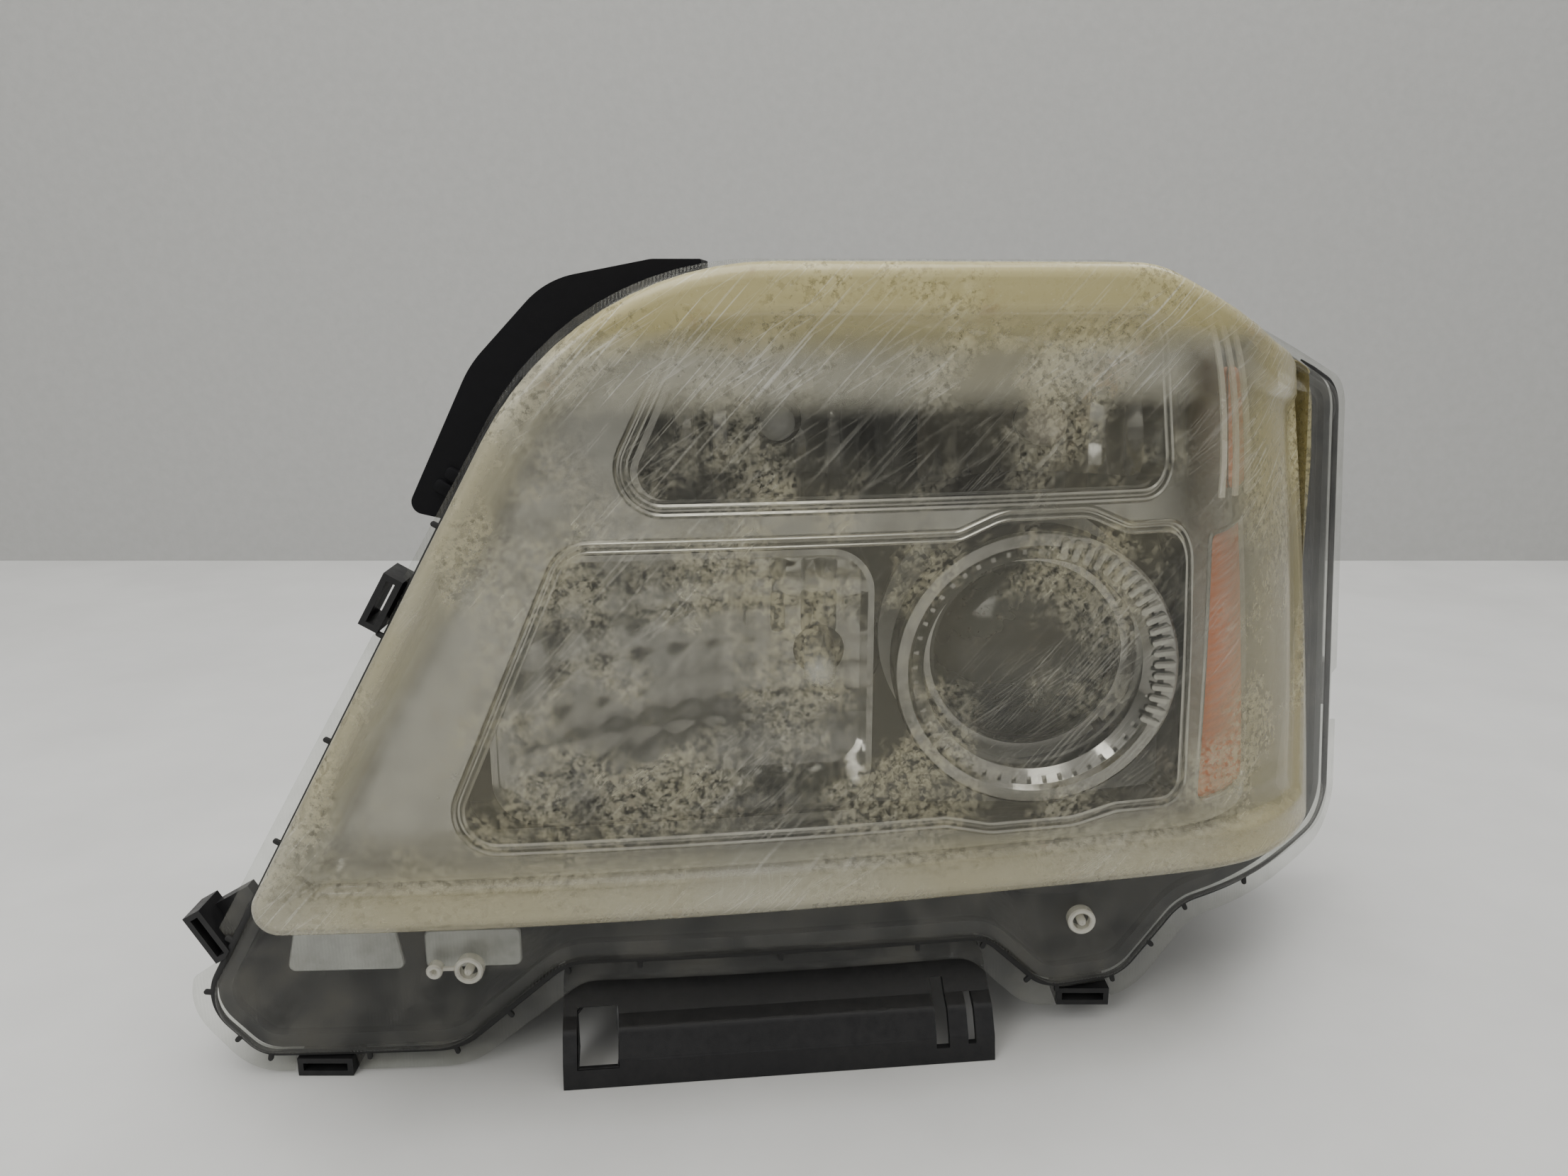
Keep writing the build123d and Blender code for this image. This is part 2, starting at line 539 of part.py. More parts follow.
# projector: lens, holder, shutter, bowl
HOLDER_FRONT_Y = -72.0
with BuildPart() as projector_lens:
    with BuildSketch(Plane((PROJECTOR_X, 0, PROJECTOR_Z))):
        with BuildLine():
            Line((0, LENS_FRONT_Y + 16), (0, LENS_FRONT_Y))
            lens_rim = (PROJECTOR_LENS_R - 1.5, LENS_FRONT_Y + 13)
            ThreePointArc((0, LENS_FRONT_Y), (21, LENS_FRONT_Y + 4.6), lens_rim)
            Polyline(
                lens_rim, (PROJECTOR_LENS_R, LENS_FRONT_Y + 13),
                (PROJECTOR_LENS_R, LENS_FRONT_Y + 16), (0, LENS_FRONT_Y + 16),
            )
        make_face()
    revolve(axis=Axis((PROJECTOR_X, 0, PROJECTOR_Z), (0, 1, 0)))
save(projector_lens, "projector_lens")

LENS_BACK_Y = LENS_FRONT_Y + 16
with BuildPart() as projector_holder:
    add(
        turned(
            PROJECTOR_X, PROJECTOR_Z,
            [
                (PROJECTOR_LENS_R + 0.05, HOLDER_FRONT_Y + 2), (PROJECTOR_LENS_R + 2.6, HOLDER_FRONT_Y + 2),
                (PROJECTOR_LENS_R + 3, LENS_BACK_Y + 2), (PROJECTOR_LENS_R + 6, PLATE_FRONT_Y - 5),
                (52, PLATE_FRONT_Y - 5), (52, PLATE_FRONT_Y), (41, PLATE_FRONT_Y), (38, PLATE_FRONT_Y - 6),
                (PROJECTOR_LENS_R, LENS_BACK_Y + 3), (31, LENS_BACK_Y + 3), (31, LENS_BACK_Y),
                (PROJECTOR_LENS_R + 0.05, LENS_BACK_Y),
            ],
        )
    )
save(projector_holder, "projector_holder")

# serrated trim ring round the projector
RING_OUTER_R, RING_INNER_R, RING_FRONT_Y, RING_REAR_Y = 50.0, 39.0, -91.0, -76.0
RING_TEETH = 48
with BuildPart() as projector_ring:
    add(
        turned(
            PROJECTOR_X, PROJECTOR_Z,
            [
                (RING_INNER_R, RING_REAR_Y), (RING_INNER_R, RING_FRONT_Y + 6),
                (RING_INNER_R + 4.5, RING_FRONT_Y + 2), (RING_INNER_R + 6, RING_FRONT_Y),
                (RING_OUTER_R - 1, RING_FRONT_Y), (RING_OUTER_R, RING_FRONT_Y + 1),
                (RING_OUTER_R, RING_REAR_Y + 2), (RING_OUTER_R - 2, RING_REAR_Y + 2),
                (RING_OUTER_R - 2, RING_FRONT_Y + 3), (RING_INNER_R + 7, RING_FRONT_Y + 4),
                (RING_INNER_R + 2, RING_FRONT_Y + 9), (RING_INNER_R + 2, RING_REAR_Y),
            ],
        )
    )
    with BuildSketch(front_plane(RING_FRONT_Y + 4)):
        with Locations((PROJECTOR_X, PROJECTOR_Z)):
            with PolarLocations(RING_INNER_R + 2.6, RING_TEETH):
                Rectangle(3.6, 1.6)
    extrude(amount=6, mode=Mode.SUBTRACT)
save(projector_ring, "projector_ring")

SPOKE_ANGLES = (45, 135, 225, 315)
with BuildPart() as ring_spokes:
    for angle in SPOKE_ANGLES:
        x = PROJECTOR_X + 43.0 * cos(radians(angle))
        z = PROJECTOR_Z + 43.0 * sin(radians(angle))
        add(disc(x, z, RING_REAR_Y, PLATE_FRONT_Y - 5, 2.2))
    add(disc(PROJECTOR_X, PROJECTOR_Z, RING_REAR_Y - 1, PLATE_FRONT_Y, 41.3), mode=Mode.SUBTRACT)
save(ring_spokes, "ring_spokes")

SHUTTER_DROP = 1.0
with BuildPart() as cutoff_shutter:
    add(disc(PROJECTOR_X, PROJECTOR_Z, -37.5, -36.0, 40.8))
    add(slab(0, 140, PROJECTOR_Z - SHUTTER_DROP, 200, -40, -30), mode=Mode.SUBTRACT)
    with BuildSketch(front_plane(-30)):
        with BuildLine():
            Polyline(
                (PROJECTOR_X - 6, PROJECTOR_Z + 1), (PROJECTOR_X + 42, PROJECTOR_Z + 1),
                (PROJECTOR_X + 42, PROJECTOR_Z - 4.5), (PROJECTOR_X, PROJECTOR_Z - 4.5), close=True,
            )
        make_face()
    extrude(amount=12, mode=Mode.SUBTRACT)
save(cutoff_shutter, "cutoff_shutter")

BOWL_APEX_Y, BOWL_MOUTH_R, BOWL_WALL = 34.0, 39.0, 2.4
BOWL_STATIONS = [0, 0.3, 0.55, 0.75, 0.9, 0.97]  # shares of the bowl's depth
bowl_share = [(1 - t ** 2.6) ** 0.5 for t in BOWL_STATIONS]  # of the mouth's radius, at each station
with BuildPart() as projector_bowl:
    with BuildSketch(Plane((PROJECTOR_X, 0, PROJECTOR_Z))):
        with BuildLine():
            depth = BOWL_APEX_Y - PLATE_REAR_Y
            outer_r, outer_depth = BOWL_MOUTH_R + BOWL_WALL, depth + BOWL_WALL
            stations = list(zip(bowl_share, BOWL_STATIONS))
            inner = Spline([(BOWL_MOUTH_R * share, PLATE_REAR_Y + depth * t) for share, t in stations])
            outer = Spline([(outer_r * share + 0.4, PLATE_REAR_Y + outer_depth * t) for share, t in stations])
            Line(inner @ 0, outer @ 0)
            Line(inner @ 1, outer @ 1)
        make_face()
    revolve(axis=Axis((PROJECTOR_X, 0, PROJECTOR_Z), (0, 1, 0)))
    flange = disc(PROJECTOR_X, PROJECTOR_Z, PLATE_REAR_Y, PLATE_REAR_Y + 3, 52)
    add(flange - disc(PROJECTOR_X, PROJECTOR_Z, -40, 0, 40.5))
    add(disc(PROJECTOR_X, PROJECTOR_Z, 29.5, BOWL_APEX_Y, 20) - disc(PROJECTOR_X, PROJECTOR_Z, 0, 50, 10.0))
    add(collar(PROJECTOR_X, PROJECTOR_Z, BOWL_APEX_Y, 10.0))
save(projector_bowl, "projector_bowl")

SCREW_PCR = 47.5
with BuildPart() as projector_screws:
    for angle in (0, 90, 180, 270):
        x = PROJECTOR_X + SCREW_PCR * cos(radians(angle))
        z = PROJECTOR_Z + SCREW_PCR * sin(radians(angle))
        add(disc(x, z, PLATE_REAR_Y + 3, PLATE_REAR_Y + 5.6, 3.6))
        with BuildSketch(front_plane(PLATE_REAR_Y + 5.6)):
            with Locations((x, z)):
                RegularPolygon(1.8, 6)
        extrude(amount=1.8, mode=Mode.SUBTRACT)
save(projector_screws, "projector_screws")

# ball sockets that the carrier hangs on, and the one that the aiming stud pushes


def ball(x, z, radius):
    """A ball whose middle is on the carrier's tilt line, or as far back as it."""
    with BuildPart() as solid:
        with Locations((x, PIVOT_Y, z)):
            Sphere(radius)
    return solid.part


def ball_socket(x, z):
    """A socket behind the carrier's plate, open to the rear for the ball's neck."""
    block = centred_slab(x, z, 2 * SOCKET_HALF, 2 * SOCKET_HALF, PLATE_REAR_Y, SOCKET_REAR_Y, 3.0)
    ball_room = ball(x, z, BALL_R + SOCKET_GAP)
    return block - ball_room - disc(x, z, PIVOT_Y, 0, NECK_ROOM_R)


with BuildPart() as pivot_sockets:
    for x in PIVOT_XS:
        add(ball_socket(x, PIVOT_Z))
save(pivot_sockets, "pivot_sockets")
with BuildPart() as aim_socket:
    add(ball_socket(AIM_X, AIM_Z))
save(aim_socket, "aim_socket")

with BuildPart() as pivot_studs:
    for x in PIVOT_XS:
        add(ball(x, PIVOT_Z, BALL_R))
        add(disc(x, PIVOT_Z, PIVOT_Y, UPPER_REAR_Y - HOUSING_WALL, 2.5))
        add(disc(x, PIVOT_Z, PIVOT_Y, UPPER_REAR_Y, 1.95))
        with BuildSketch(front_plane(UPPER_REAR_Y + 4)):
            with Locations((x, PIVOT_Z)):
                RegularPolygon(4.5, 6)
        extrude(amount=4)
save(pivot_studs, "pivot_studs")

# ---------------------------------------------------------------- vertical aim
GEAR_FRONT_Y, GEAR_BACK_Y = 27.0, 31.0
CROWN_TEETH, CROWN_HEIGHT, CROWN_INNER_R, CROWN_OUTER_R, CROWN_TOOTH = 24, 2.2, 8.6, 14.5, 0.8
PINION_TEETH, PINION_ROOT_R, PINION_TIP_R, PINION_TOOTH = 8, 2.9, 4.8, 0.9
HUB_R, HUB_FRONT_Y, HUB_REAR_Y = 6.0, 24.0, 46.0
MESH_DEPTH = 1.4
PINION_Y = GEAR_BACK_Y + CROWN_HEIGHT + PINION_TIP_R - MESH_DEPTH
PINION_LOW, PINION_HIGH = AIM_Z + 11.6, AIM_Z + 13.8
DRIVE_R, DRIVE_TOP = 2.5, AIM_Z + 78.0
BOX_HALF, BOX_LOW, BOX_HIGH = 18.5, AIM_Z - 19.0, AIM_Z + 24.0
BOX_REAR_Y = 46.0
RUNNING_GAP = 0.08

with BuildPart() as aim_stud:
    add(ball(AIM_X, AIM_Z, BALL_R))
    add(disc(AIM_X, AIM_Z, PIVOT_Y, 56, STUD_R))
save(aim_stud, "aim_stud")

with BuildPart() as aim_gear:
    add(disc(AIM_X, AIM_Z, GEAR_FRONT_Y, GEAR_BACK_Y, CROWN_OUTER_R))
    with BuildSketch(front_plane(GEAR_BACK_Y + CROWN_HEIGHT)):
        with Locations((AIM_X, AIM_Z)):
            with PolarLocations((CROWN_INNER_R + CROWN_OUTER_R) / 2, CROWN_TEETH, start_angle=90):
                Rectangle(CROWN_OUTER_R - CROWN_INNER_R, CROWN_TOOTH)
    extrude(amount=CROWN_HEIGHT + 1)
    add(disc(AIM_X, AIM_Z, HUB_FRONT_Y, HUB_REAR_Y, HUB_R))
    add(disc(AIM_X, AIM_Z, HUB_FRONT_Y - 1, HUB_REAR_Y + 1, STUD_R + STUD_GAP), mode=Mode.SUBTRACT)
save(aim_gear, "aim_gear")

with BuildPart() as aim_drive:
    with BuildSketch(Plane.XY.offset(PINION_LOW)):
        with Locations((AIM_X, PINION_Y)):
            Circle(PINION_ROOT_R)
            first_tooth = 180 / PINION_TEETH - 90
            with PolarLocations((PINION_ROOT_R + PINION_TIP_R) / 2 - 0.4, PINION_TEETH, first_tooth):
                Rectangle(PINION_TIP_R - PINION_ROOT_R + 0.8, PINION_TOOTH)
    extrude(amount=PINION_HIGH - PINION_LOW)
    with BuildSketch(Plane.XY.offset(PINION_LOW)):
        with Locations((AIM_X, PINION_Y)):
            Circle(DRIVE_R)
    extrude(amount=DRIVE_TOP - 8 - PINION_LOW)
    for low, high in ((PINION_HIGH + 1.0, PINION_HIGH + 3.0), (BOX_HIGH + 0.4, BOX_HIGH + 3.0)):
        with BuildSketch(Plane.XY.offset(low)):
            with Locations((AIM_X, PINION_Y)):
                Circle(DRIVE_R + 1.8)
        extrude(amount=high - low)
    with BuildSketch(Plane.XY.offset(DRIVE_TOP - 8)):
        with Locations((AIM_X, PINION_Y)):
            RegularPolygon(5.0, 6)
    extrude(amount=8)
    with BuildSketch(Plane.XY.offset(DRIVE_TOP - 4)):
        with Locations((AIM_X, PINION_Y)):
            Rectangle(6.0, 1.4)
            Rectangle(1.4, 6.0)
    extrude(amount=6, mode=Mode.SUBTRACT)
save(aim_drive, "aim_drive")


def gearbox_room():
    """Everything inside the gearbox that turns, with running room."""
    room = disc(AIM_X, AIM_Z, GEAR_FRONT_Y - 0.3, GEAR_BACK_Y + CROWN_HEIGHT + 0.3, CROWN_OUTER_R + 0.4)
    room = room + disc(AIM_X, AIM_Z, HUB_FRONT_Y - 0.3, HUB_REAR_Y + 2, HUB_R + RUNNING_GAP)
    room = room + disc(AIM_X, AIM_Z, INBOARD_REAR_Y - 1, HUB_FRONT_Y, STUD_R + 1.0)
    with BuildPart() as drive_room:
        for low, high, radius in (
            (PINION_LOW - 0.5, PINION_HIGH + 0.5, PINION_TIP_R + 0.4),
            (PINION_HIGH + 0.4, PINION_HIGH + 3.4, PINION_TIP_R + 0.4),
            (PINION_HIGH, BOX_HIGH + 5, DRIVE_R + RUNNING_GAP),
        ):
            with BuildSketch(Plane.XY.offset(low)):
                with Locations((AIM_X, PINION_Y)):
                    Circle(radius)
            extrude(amount=high - low)
    return room + drive_room.part


gear_room = gearbox_room()
box_shape = slab(AIM_X - BOX_HALF, AIM_X + BOX_HALF, BOX_LOW, BOX_HIGH, INBOARD_REAR_Y, BOX_REAR_Y, 4.0)
with BuildPart() as aim_gearbox:
    add(box_shape - slab(-300, 0, 0, 200, PINION_Y, 80))
    add(gear_room, mode=Mode.SUBTRACT)
save(aim_gearbox, "aim_gearbox")
with BuildPart() as aim_gearbox_cover:
    add(box_shape - slab(-300, 0, 0, 200, 0, PINION_Y))
    add(gear_room, mode=Mode.SUBTRACT)
save(aim_gearbox_cover, "aim_gearbox_cover")

# ---------------------------------------------------------------- twist-lock bulbs in the carrier
LUG_WIDTH = 6.0


def plug_socket(x, z, y_front, y_rear, width, height):
    """A connector sleeve along Y, open to the rear, with two blade contacts' floor left solid."""
    sleeve = centred_slab(x, z, width, height, y_front, y_rear, 2.0)
    return sleeve - centred_slab(x, z, width - 4, height - 4, y_front + 5, y_rear + 1, 1.0)


def bulb_base(x, z, wall_y):
    """A capsule bulb's plastic base: neck, lugs, flange and connector sleeve."""
    rear = wall_y + COLLAR_LENGTH
    base = disc(x, z, wall_y + 1.0, rear + 1, COLLAR_BORE_R - PORT_GAP)
    lug_span = (wall_y + GROOVE[0] + PORT_GAP, wall_y + GROOVE[1] - PORT_GAP)
    lugs = bayonet_lugs(x, z, *lug_span, COLLAR_BORE_R - PORT_GAP, LUG_TURN, LUG_WIDTH)
    base = base + lugs + disc(x, z, rear + 1.0, rear + 4.0, COLLAR_R) + disc(x, z, rear + 3.5, rear + 9, 11.0)
    return base + plug_socket(x, z, rear + 8, rear + 26, 22.0, 15.0)


def bulb_glass(x, z, wall_y, tip_y, radius):
    """A capsule bulb's glass with a dark-tipped round end."""
    length = wall_y + 1.0 - tip_y
    with BuildPart() as glass:
        with BuildSketch(Plane((x, 0, z))):
            with BuildLine():
                Line((0, wall_y + 1.0), (0, tip_y))
                ThreePointArc(
                    (0, tip_y), (radius * sin(radians(45)), tip_y + radius * (1 - cos(radians(45)))),
                    (radius, tip_y + radius),
                )
                Polyline((radius, tip_y + radius), (radius, tip_y + length), (0, tip_y + length))
            make_face()
        revolve(axis=Axis((x, 0, z), (0, 1, 0)))
    return glass.part


def seal_ring(x, z, y_front, y_back, inner_r, outer_r):
    """A flat rubber ring."""
    return disc(x, z, y_front, y_back, outer_r) - disc(x, z, y_front - 1, y_back + 1, inner_r)


LOW_TIP_Y, HIGH_TIP_Y, CAPSULE_R = -2.0, -74.0, 6.0
BULBS = [
    ("low_beam_bulb", PROJECTOR_X, PROJECTOR_Z, BOWL_APEX_Y, LOW_TIP_Y),
    ("high_beam_bulb", HIGH_X, HIGH_Z, PLATE_FRONT_Y, HIGH_TIP_Y),
]
for name, x, z, wall_y, tip_y in BULBS:
    with BuildPart() as base:
        add(bulb_base(x, z, wall_y))
    save(base, name + "_base")
    with BuildPart() as glass:
        add(bulb_glass(x, z, wall_y, tip_y, CAPSULE_R))
    save(glass, name + "_glass")
    with BuildPart() as ring:
        rear = wall_y + COLLAR_LENGTH
        add(seal_ring(x, z, rear + 0.2, rear + 1.0, COLLAR_BORE_R + 0.6, COLLAR_R - 1.5))
    save(ring, name + "_seal")

# ---------------------------------------------------------------- wedge-bulb sockets in the housing
WEDGE_SOCKETS = [
    # name, x, z, wall's rear, glass tip, glass radius
    ("park", PARK_X, UPPER_Z, UPPER_REAR_Y, -64.0, 6.5),
    ("turn", TURN_X, UPPER_Z, UPPER_REAR_Y, -68.0, 8.0),
    ("marker", MARKER_X, MARKER_Z, OUTBOARD_REAR_Y, -18.0, 5.0),
]
SEAT_GAP, SEAT_RING = 0.2, 1.4
for name, x, z, wall_y, tip_y, glass_r in WEDGE_SOCKETS:
    neck_front = wall_y - HOUSING_WALL - PORT_GAP
    barrel_front = tip_y + 24.0
    with BuildPart() as socket:
        add(disc(x, z, neck_front - 3, wall_y + 2, SOCKET_HOLE_R - PORT_GAP))
        wide = lug_width(SOCKET_HOLE_R) - 1
        add(bayonet_lugs(x, z, neck_front - 3, neck_front, SOCKET_HOLE_R - PORT_GAP, LUG_TURN, wide))
        add(disc(x, z, wall_y + SEAT_GAP + SEAT_RING, wall_y + 5, 17.0))
        add(disc(x, z, barrel_front, neck_front, GLASS_HOLE_R - 0.6))
        add(slab(x - 3, x + 3, z - 15, z + 15, wall_y + 4, wall_y + 8.5, 1.5))
        add(plug_socket(x, z, wall_y + 4, wall_y + 24, 15.0, 12.0))
    save(socket, name + "_socket")
    with BuildPart() as glass:
        add(bulb_glass(x, z, barrel_front - 1.0, tip_y, glass_r))
    save(glass, name + "_bulb")
    with BuildPart() as ring:
        add(seal_ring(x, z, wall_y + SEAT_GAP, wall_y + SEAT_GAP + SEAT_RING, SOCKET_HOLE_R + 4.0, 17.0))
    save(ring, name + "_socket_seal")

# ---------------------------------------------------------------- access caps
CAP_PLATE, CAP_SKIRT, CAP_OVERLAP, KNOB_R = 3.0, 9.0, 4.5, 1.6
CAPS = [
    # name, x, z, wall's rear, port radius, grip's rear
    ("low_beam_cap", PROJECTOR_X, PROJECTOR_Z, LOW_WELL_Y, LOW_PORT_R, 150.07),
    ("high_beam_cap", HIGH_X, HIGH_Z, HIGH_WELL_Y, HIGH_PORT_R, 94.0),
]
for name, x, z, wall_y, port_r, grip_y in CAPS:
    skirt_r = port_r - PORT_GAP
    plate_y = wall_y + SEAT_GAP + SEAT_RING
    front_y = wall_y - HOUSING_WALL - PORT_GAP
    with BuildPart() as cap:
        add(disc(x, z, plate_y, plate_y + CAP_PLATE, port_r + CAP_OVERLAP))
        add(disc(x, z, wall_y - CAP_SKIRT, plate_y + 1, skirt_r))
        add(bayonet_lugs(x, z, front_y - 3, front_y, skirt_r, LUG_TURN, lug_width(port_r) - 1))
        add(disc(x, z, wall_y - CAP_SKIRT - 1, plate_y, skirt_r - 2.5), mode=Mode.SUBTRACT)
        # domed middle with a grip bar and finger ribs round the edge
        dome = [(0, plate_y), (port_r * 0.72, plate_y), (port_r * 0.6, plate_y + 9), (0, plate_y + 10)]
        add(turned(x, z, dome))
        add(slab(x - 5, x + 5, z - port_r * 0.62, z + port_r * 0.62, plate_y, grip_y, 3.0))
        with BuildSketch(front_plane(plate_y + CAP_PLATE)):
            with Locations((x, z)):
                with PolarLocations(port_r + CAP_OVERLAP - 0.4, 12):
                    Circle(KNOB_R)
        extrude(amount=CAP_PLATE)
    save(cap, name)
    with BuildPart() as ring:
        add(seal_ring(x, z, wall_y + SEAT_GAP, plate_y, port_r + 1.0, port_r + CAP_OVERLAP - 0.4))
    save(ring, name + "_seal")

# ---------------------------------------------------------------- fixed pieces on the housing's rear
INLET = (-138.0, 140.0, 46.0, 26.0)  # x, z, width, height
INLET_REAR_Y = 52.0
with BuildPart() as inlet_connector:
    x, z, width, height = INLET
    add(centred_slab(x, z, width + 10, height + 8, INBOARD_REAR_Y, INBOARD_REAR_Y + 3, 3.0))
    add(centred_slab(x, z, width, height, INBOARD_REAR_Y, INLET_REAR_Y, 3.0))
    add(centred_slab(x, z, width - 5, height - 5, 29, 60, 1.5), mode=Mode.SUBTRACT)
    add(slab(x - 6, x + 6, z + height / 2, z + height / 2 + 3, 34, INLET_REAR_Y - 4))
save(inlet_connector, "inlet_connector")

PIN = 1.5
with BuildPart() as inlet_pins:
    with BuildSketch(front_plane(46)):
        with Locations((INLET[0], INLET[1])):
            with GridLocations(8.0, 8.0, 5, 2):
                Rectangle(PIN, PIN)
    extrude(amount=17)
save(inlet_pins, "inlet_pins")

VENTS = [(-42.0, 78.0, INBOARD_REAR_Y), (128.0, 174.0, LOWER_REAR_Y), (176.0, 204.0, OUTBOARD_REAR_Y)]
with BuildPart() as vent_caps:
    for x, z, wall_y in VENTS:
        add(disc(x, z, wall_y, wall_y + 10, 6.0))
        with BuildSketch(Plane.XY.offset(z - 12)):
            with Locations((x, wall_y + 10)):
                Circle(5.0)
        extrude(amount=14)
        with BuildSketch(Plane.XY.offset(z - 12)):
            with Locations((x, wall_y + 10)):
                Circle(2.6)
        extrude(amount=9, mode=Mode.SUBTRACT)
save(vent_caps, "vent_caps")

BUSH_R, BUSH_BORE_R = 5.0, 3.4
with BuildPart() as mount_bushes:
    for x, y, z in TOP_TABS:
        with BuildSketch(Plane.XY.offset(z - TAB_THICKNESS / 2)):
            with Locations((x, y)):
                Circle(BUSH_R)
                Circle(BUSH_BORE_R, mode=Mode.SUBTRACT)
        extrude(amount=TAB_THICKNESS)
    x, y, z = SIDE_TAB
    add(seal_ring(x, z, y - TAB_THICKNESS / 2, y + TAB_THICKNESS / 2, BUSH_BORE_R, BUSH_R))
save(mount_bushes, "mount_bushes")

# ---------------------------------------------------------------- lower fascia bracket
flange_zone = outline_block(FLANGE_OUTLINE, FLANGE_RADII, -130, 60, 0.4) - behind_parting
BRACKET_TOP = 42.5
BRACKET_TURN = 6.5  # degrees: it runs parallel to the lens
BRACKET_LENGTH = 158.0
BRACKET_MIDDLE = (-22.0, -90.0)
BRACKET_WALL = 2.6
bracket_flat = Plane(origin=(*BRACKET_MIDDLE, 0), z_dir=(0, 0, 1))
bracket_end = bracket_flat.rotated((0, 0, BRACKET_TURN))
# profile: Y behind the middle line, and Z
BRACKET_PROFILE = [
    (16, BRACKET_TOP), (16, 31.0), (2, 30.0), (-8, 21.0), (-13, 18.0), (-18, 9.0), (-19.5, 0.0),
]
bracket_plane = Plane(bracket_end.origin, x_dir=bracket_end.y_dir, z_dir=bracket_end.x_dir)


def bracket_slab(along_low, along_high, y_low, y_high, z_low, z_high):
    """A block in the bracket's own directions."""
    with BuildPart() as block:
        with BuildSketch(bracket_plane.offset(along_low)):
            with Locations(((y_low + y_high) / 2, (z_low + z_high) / 2)):
                Rectangle(y_high - y_low, z_high - z_low)
        extrude(amount=along_high - along_low)
    return block.part


half = BRACKET_LENGTH / 2
with BuildPart() as fascia_bracket:
    with BuildSketch(bracket_plane.offset(-half)):
        with BuildLine():
            FilletPolyline(*BRACKET_PROFILE, radius=3.0)
        trace(line_width=BRACKET_WALL)
    extrude(amount=BRACKET_LENGTH)
    add(bracket_slab(-half, half, -30, 30, -5, 0), mode=Mode.SUBTRACT)
    # rear flange that screws to the housing's underside
    add(bracket_slab(-half, half, 10, 30, BRACKET_TOP - BRACKET_WALL, BRACKET_TOP))
    # end cheeks and inner ribs
    for along in (-half, -half + 24, half - 27, half - BRACKET_WALL):
        with BuildSketch(bracket_plane.offset(along)):
            with BuildLine():
                Polyline(
                    (16, 31), (16, 24), (-8, 4), (-18, 4), (-18, 9), (-13, 18), (-8, 21), (2, 30), close=True,
                )
            make_face()
        extrude(amount=BRACKET_WALL)
    # windows
    add(bracket_slab(-half + 5, -half + 20, -30, 5, 7, 24), mode=Mode.SUBTRACT)
    add(bracket_slab(half - 22, half - 17, -30, -2, 6, 26), mode=Mode.SUBTRACT)
    add(bracket_slab(half - 10, half - 7, -30, -2, 7, 22), mode=Mode.SUBTRACT)
    # clear of the rim's lobes, the flange and the floor
    add(rim_block(-130, 80, 1.0), mode=Mode.SUBTRACT)
    add(flange_zone, mode=Mode.SUBTRACT)
    drop_offcuts(fascia_bracket, 500.0)
save(fascia_bracket, "fascia_bracket")

with BuildPart() as bracket_screws:
    for along in (-58, 0, 58):
        with BuildSketch(bracket_end.offset(BRACKET_TOP - BRACKET_WALL)):
            with Locations((along, 23)):
                Circle(4.5)
        extrude(amount=-2.6)
        with BuildSketch(bracket_end.offset(BRACKET_TOP - BRACKET_WALL - 2.6)):
            with Locations((along, 23)):
                RegularPolygon(2.2, 6)
        extrude(amount=1.6, mode=Mode.SUBTRACT)
save(bracket_screws, "bracket_screws")

# ---------------------------------------------------------------- upper shield, over the inboard shoulder
SHIELD_OUTER = [
    (-146, 206), (-122, 254), (-96, 281), (-62, 287.5), (-46, 287.5), (-46, 262), (-80, 262), (-120, 200),
]
SHIELD_RADII = [4, 40, 30, 8, 0.5, 4, 20, 4]
with BuildPart() as upper_shield:
    add(outline_block(SHIELD_OUTER, SHIELD_RADII, -96, -60))
    add(rim_block(-130, 60, 1.3), mode=Mode.SUBTRACT)
save(upper_shield, "upper_shield")

# ---------------------------------------------------------------- clips
with BuildPart() as lens_clips:
    for x, z, turn, seal_y, stand in CLIPS:
        plane = clip_plane(x, z, turn, seal_y)
        inside = CLIP_REACH - stand
        add(clip_block(plane, CLIP_LENGTH, stand, inside, CLIP_BACK, CLIP_FRONT))
        room = (CLIP_LENGTH - 2 * CLIP_WALL, stand - CLIP_WALL, inside - CLIP_WALL)
        add(clip_block(plane, *room, CLIP_BACK + 1, CLIP_FRONT + 1), mode=Mode.SUBTRACT)
        add(clip_block(plane, CLIP_LENGTH - 6, CLIP_WALL - inside, ROOT_REACH, CLIP_BACK, -ROOT_FRONT))
    add(rim_block(-130, 80, 1.1), mode=Mode.SUBTRACT)
    add(outer_lens.part, mode=Mode.SUBTRACT)
save(lens_clips, "lens_clips")
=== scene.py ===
import json
import math

import bpy
import bmesh
import numpy as np
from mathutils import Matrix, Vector
from mathutils.geometry import delaunay_2d_cdt


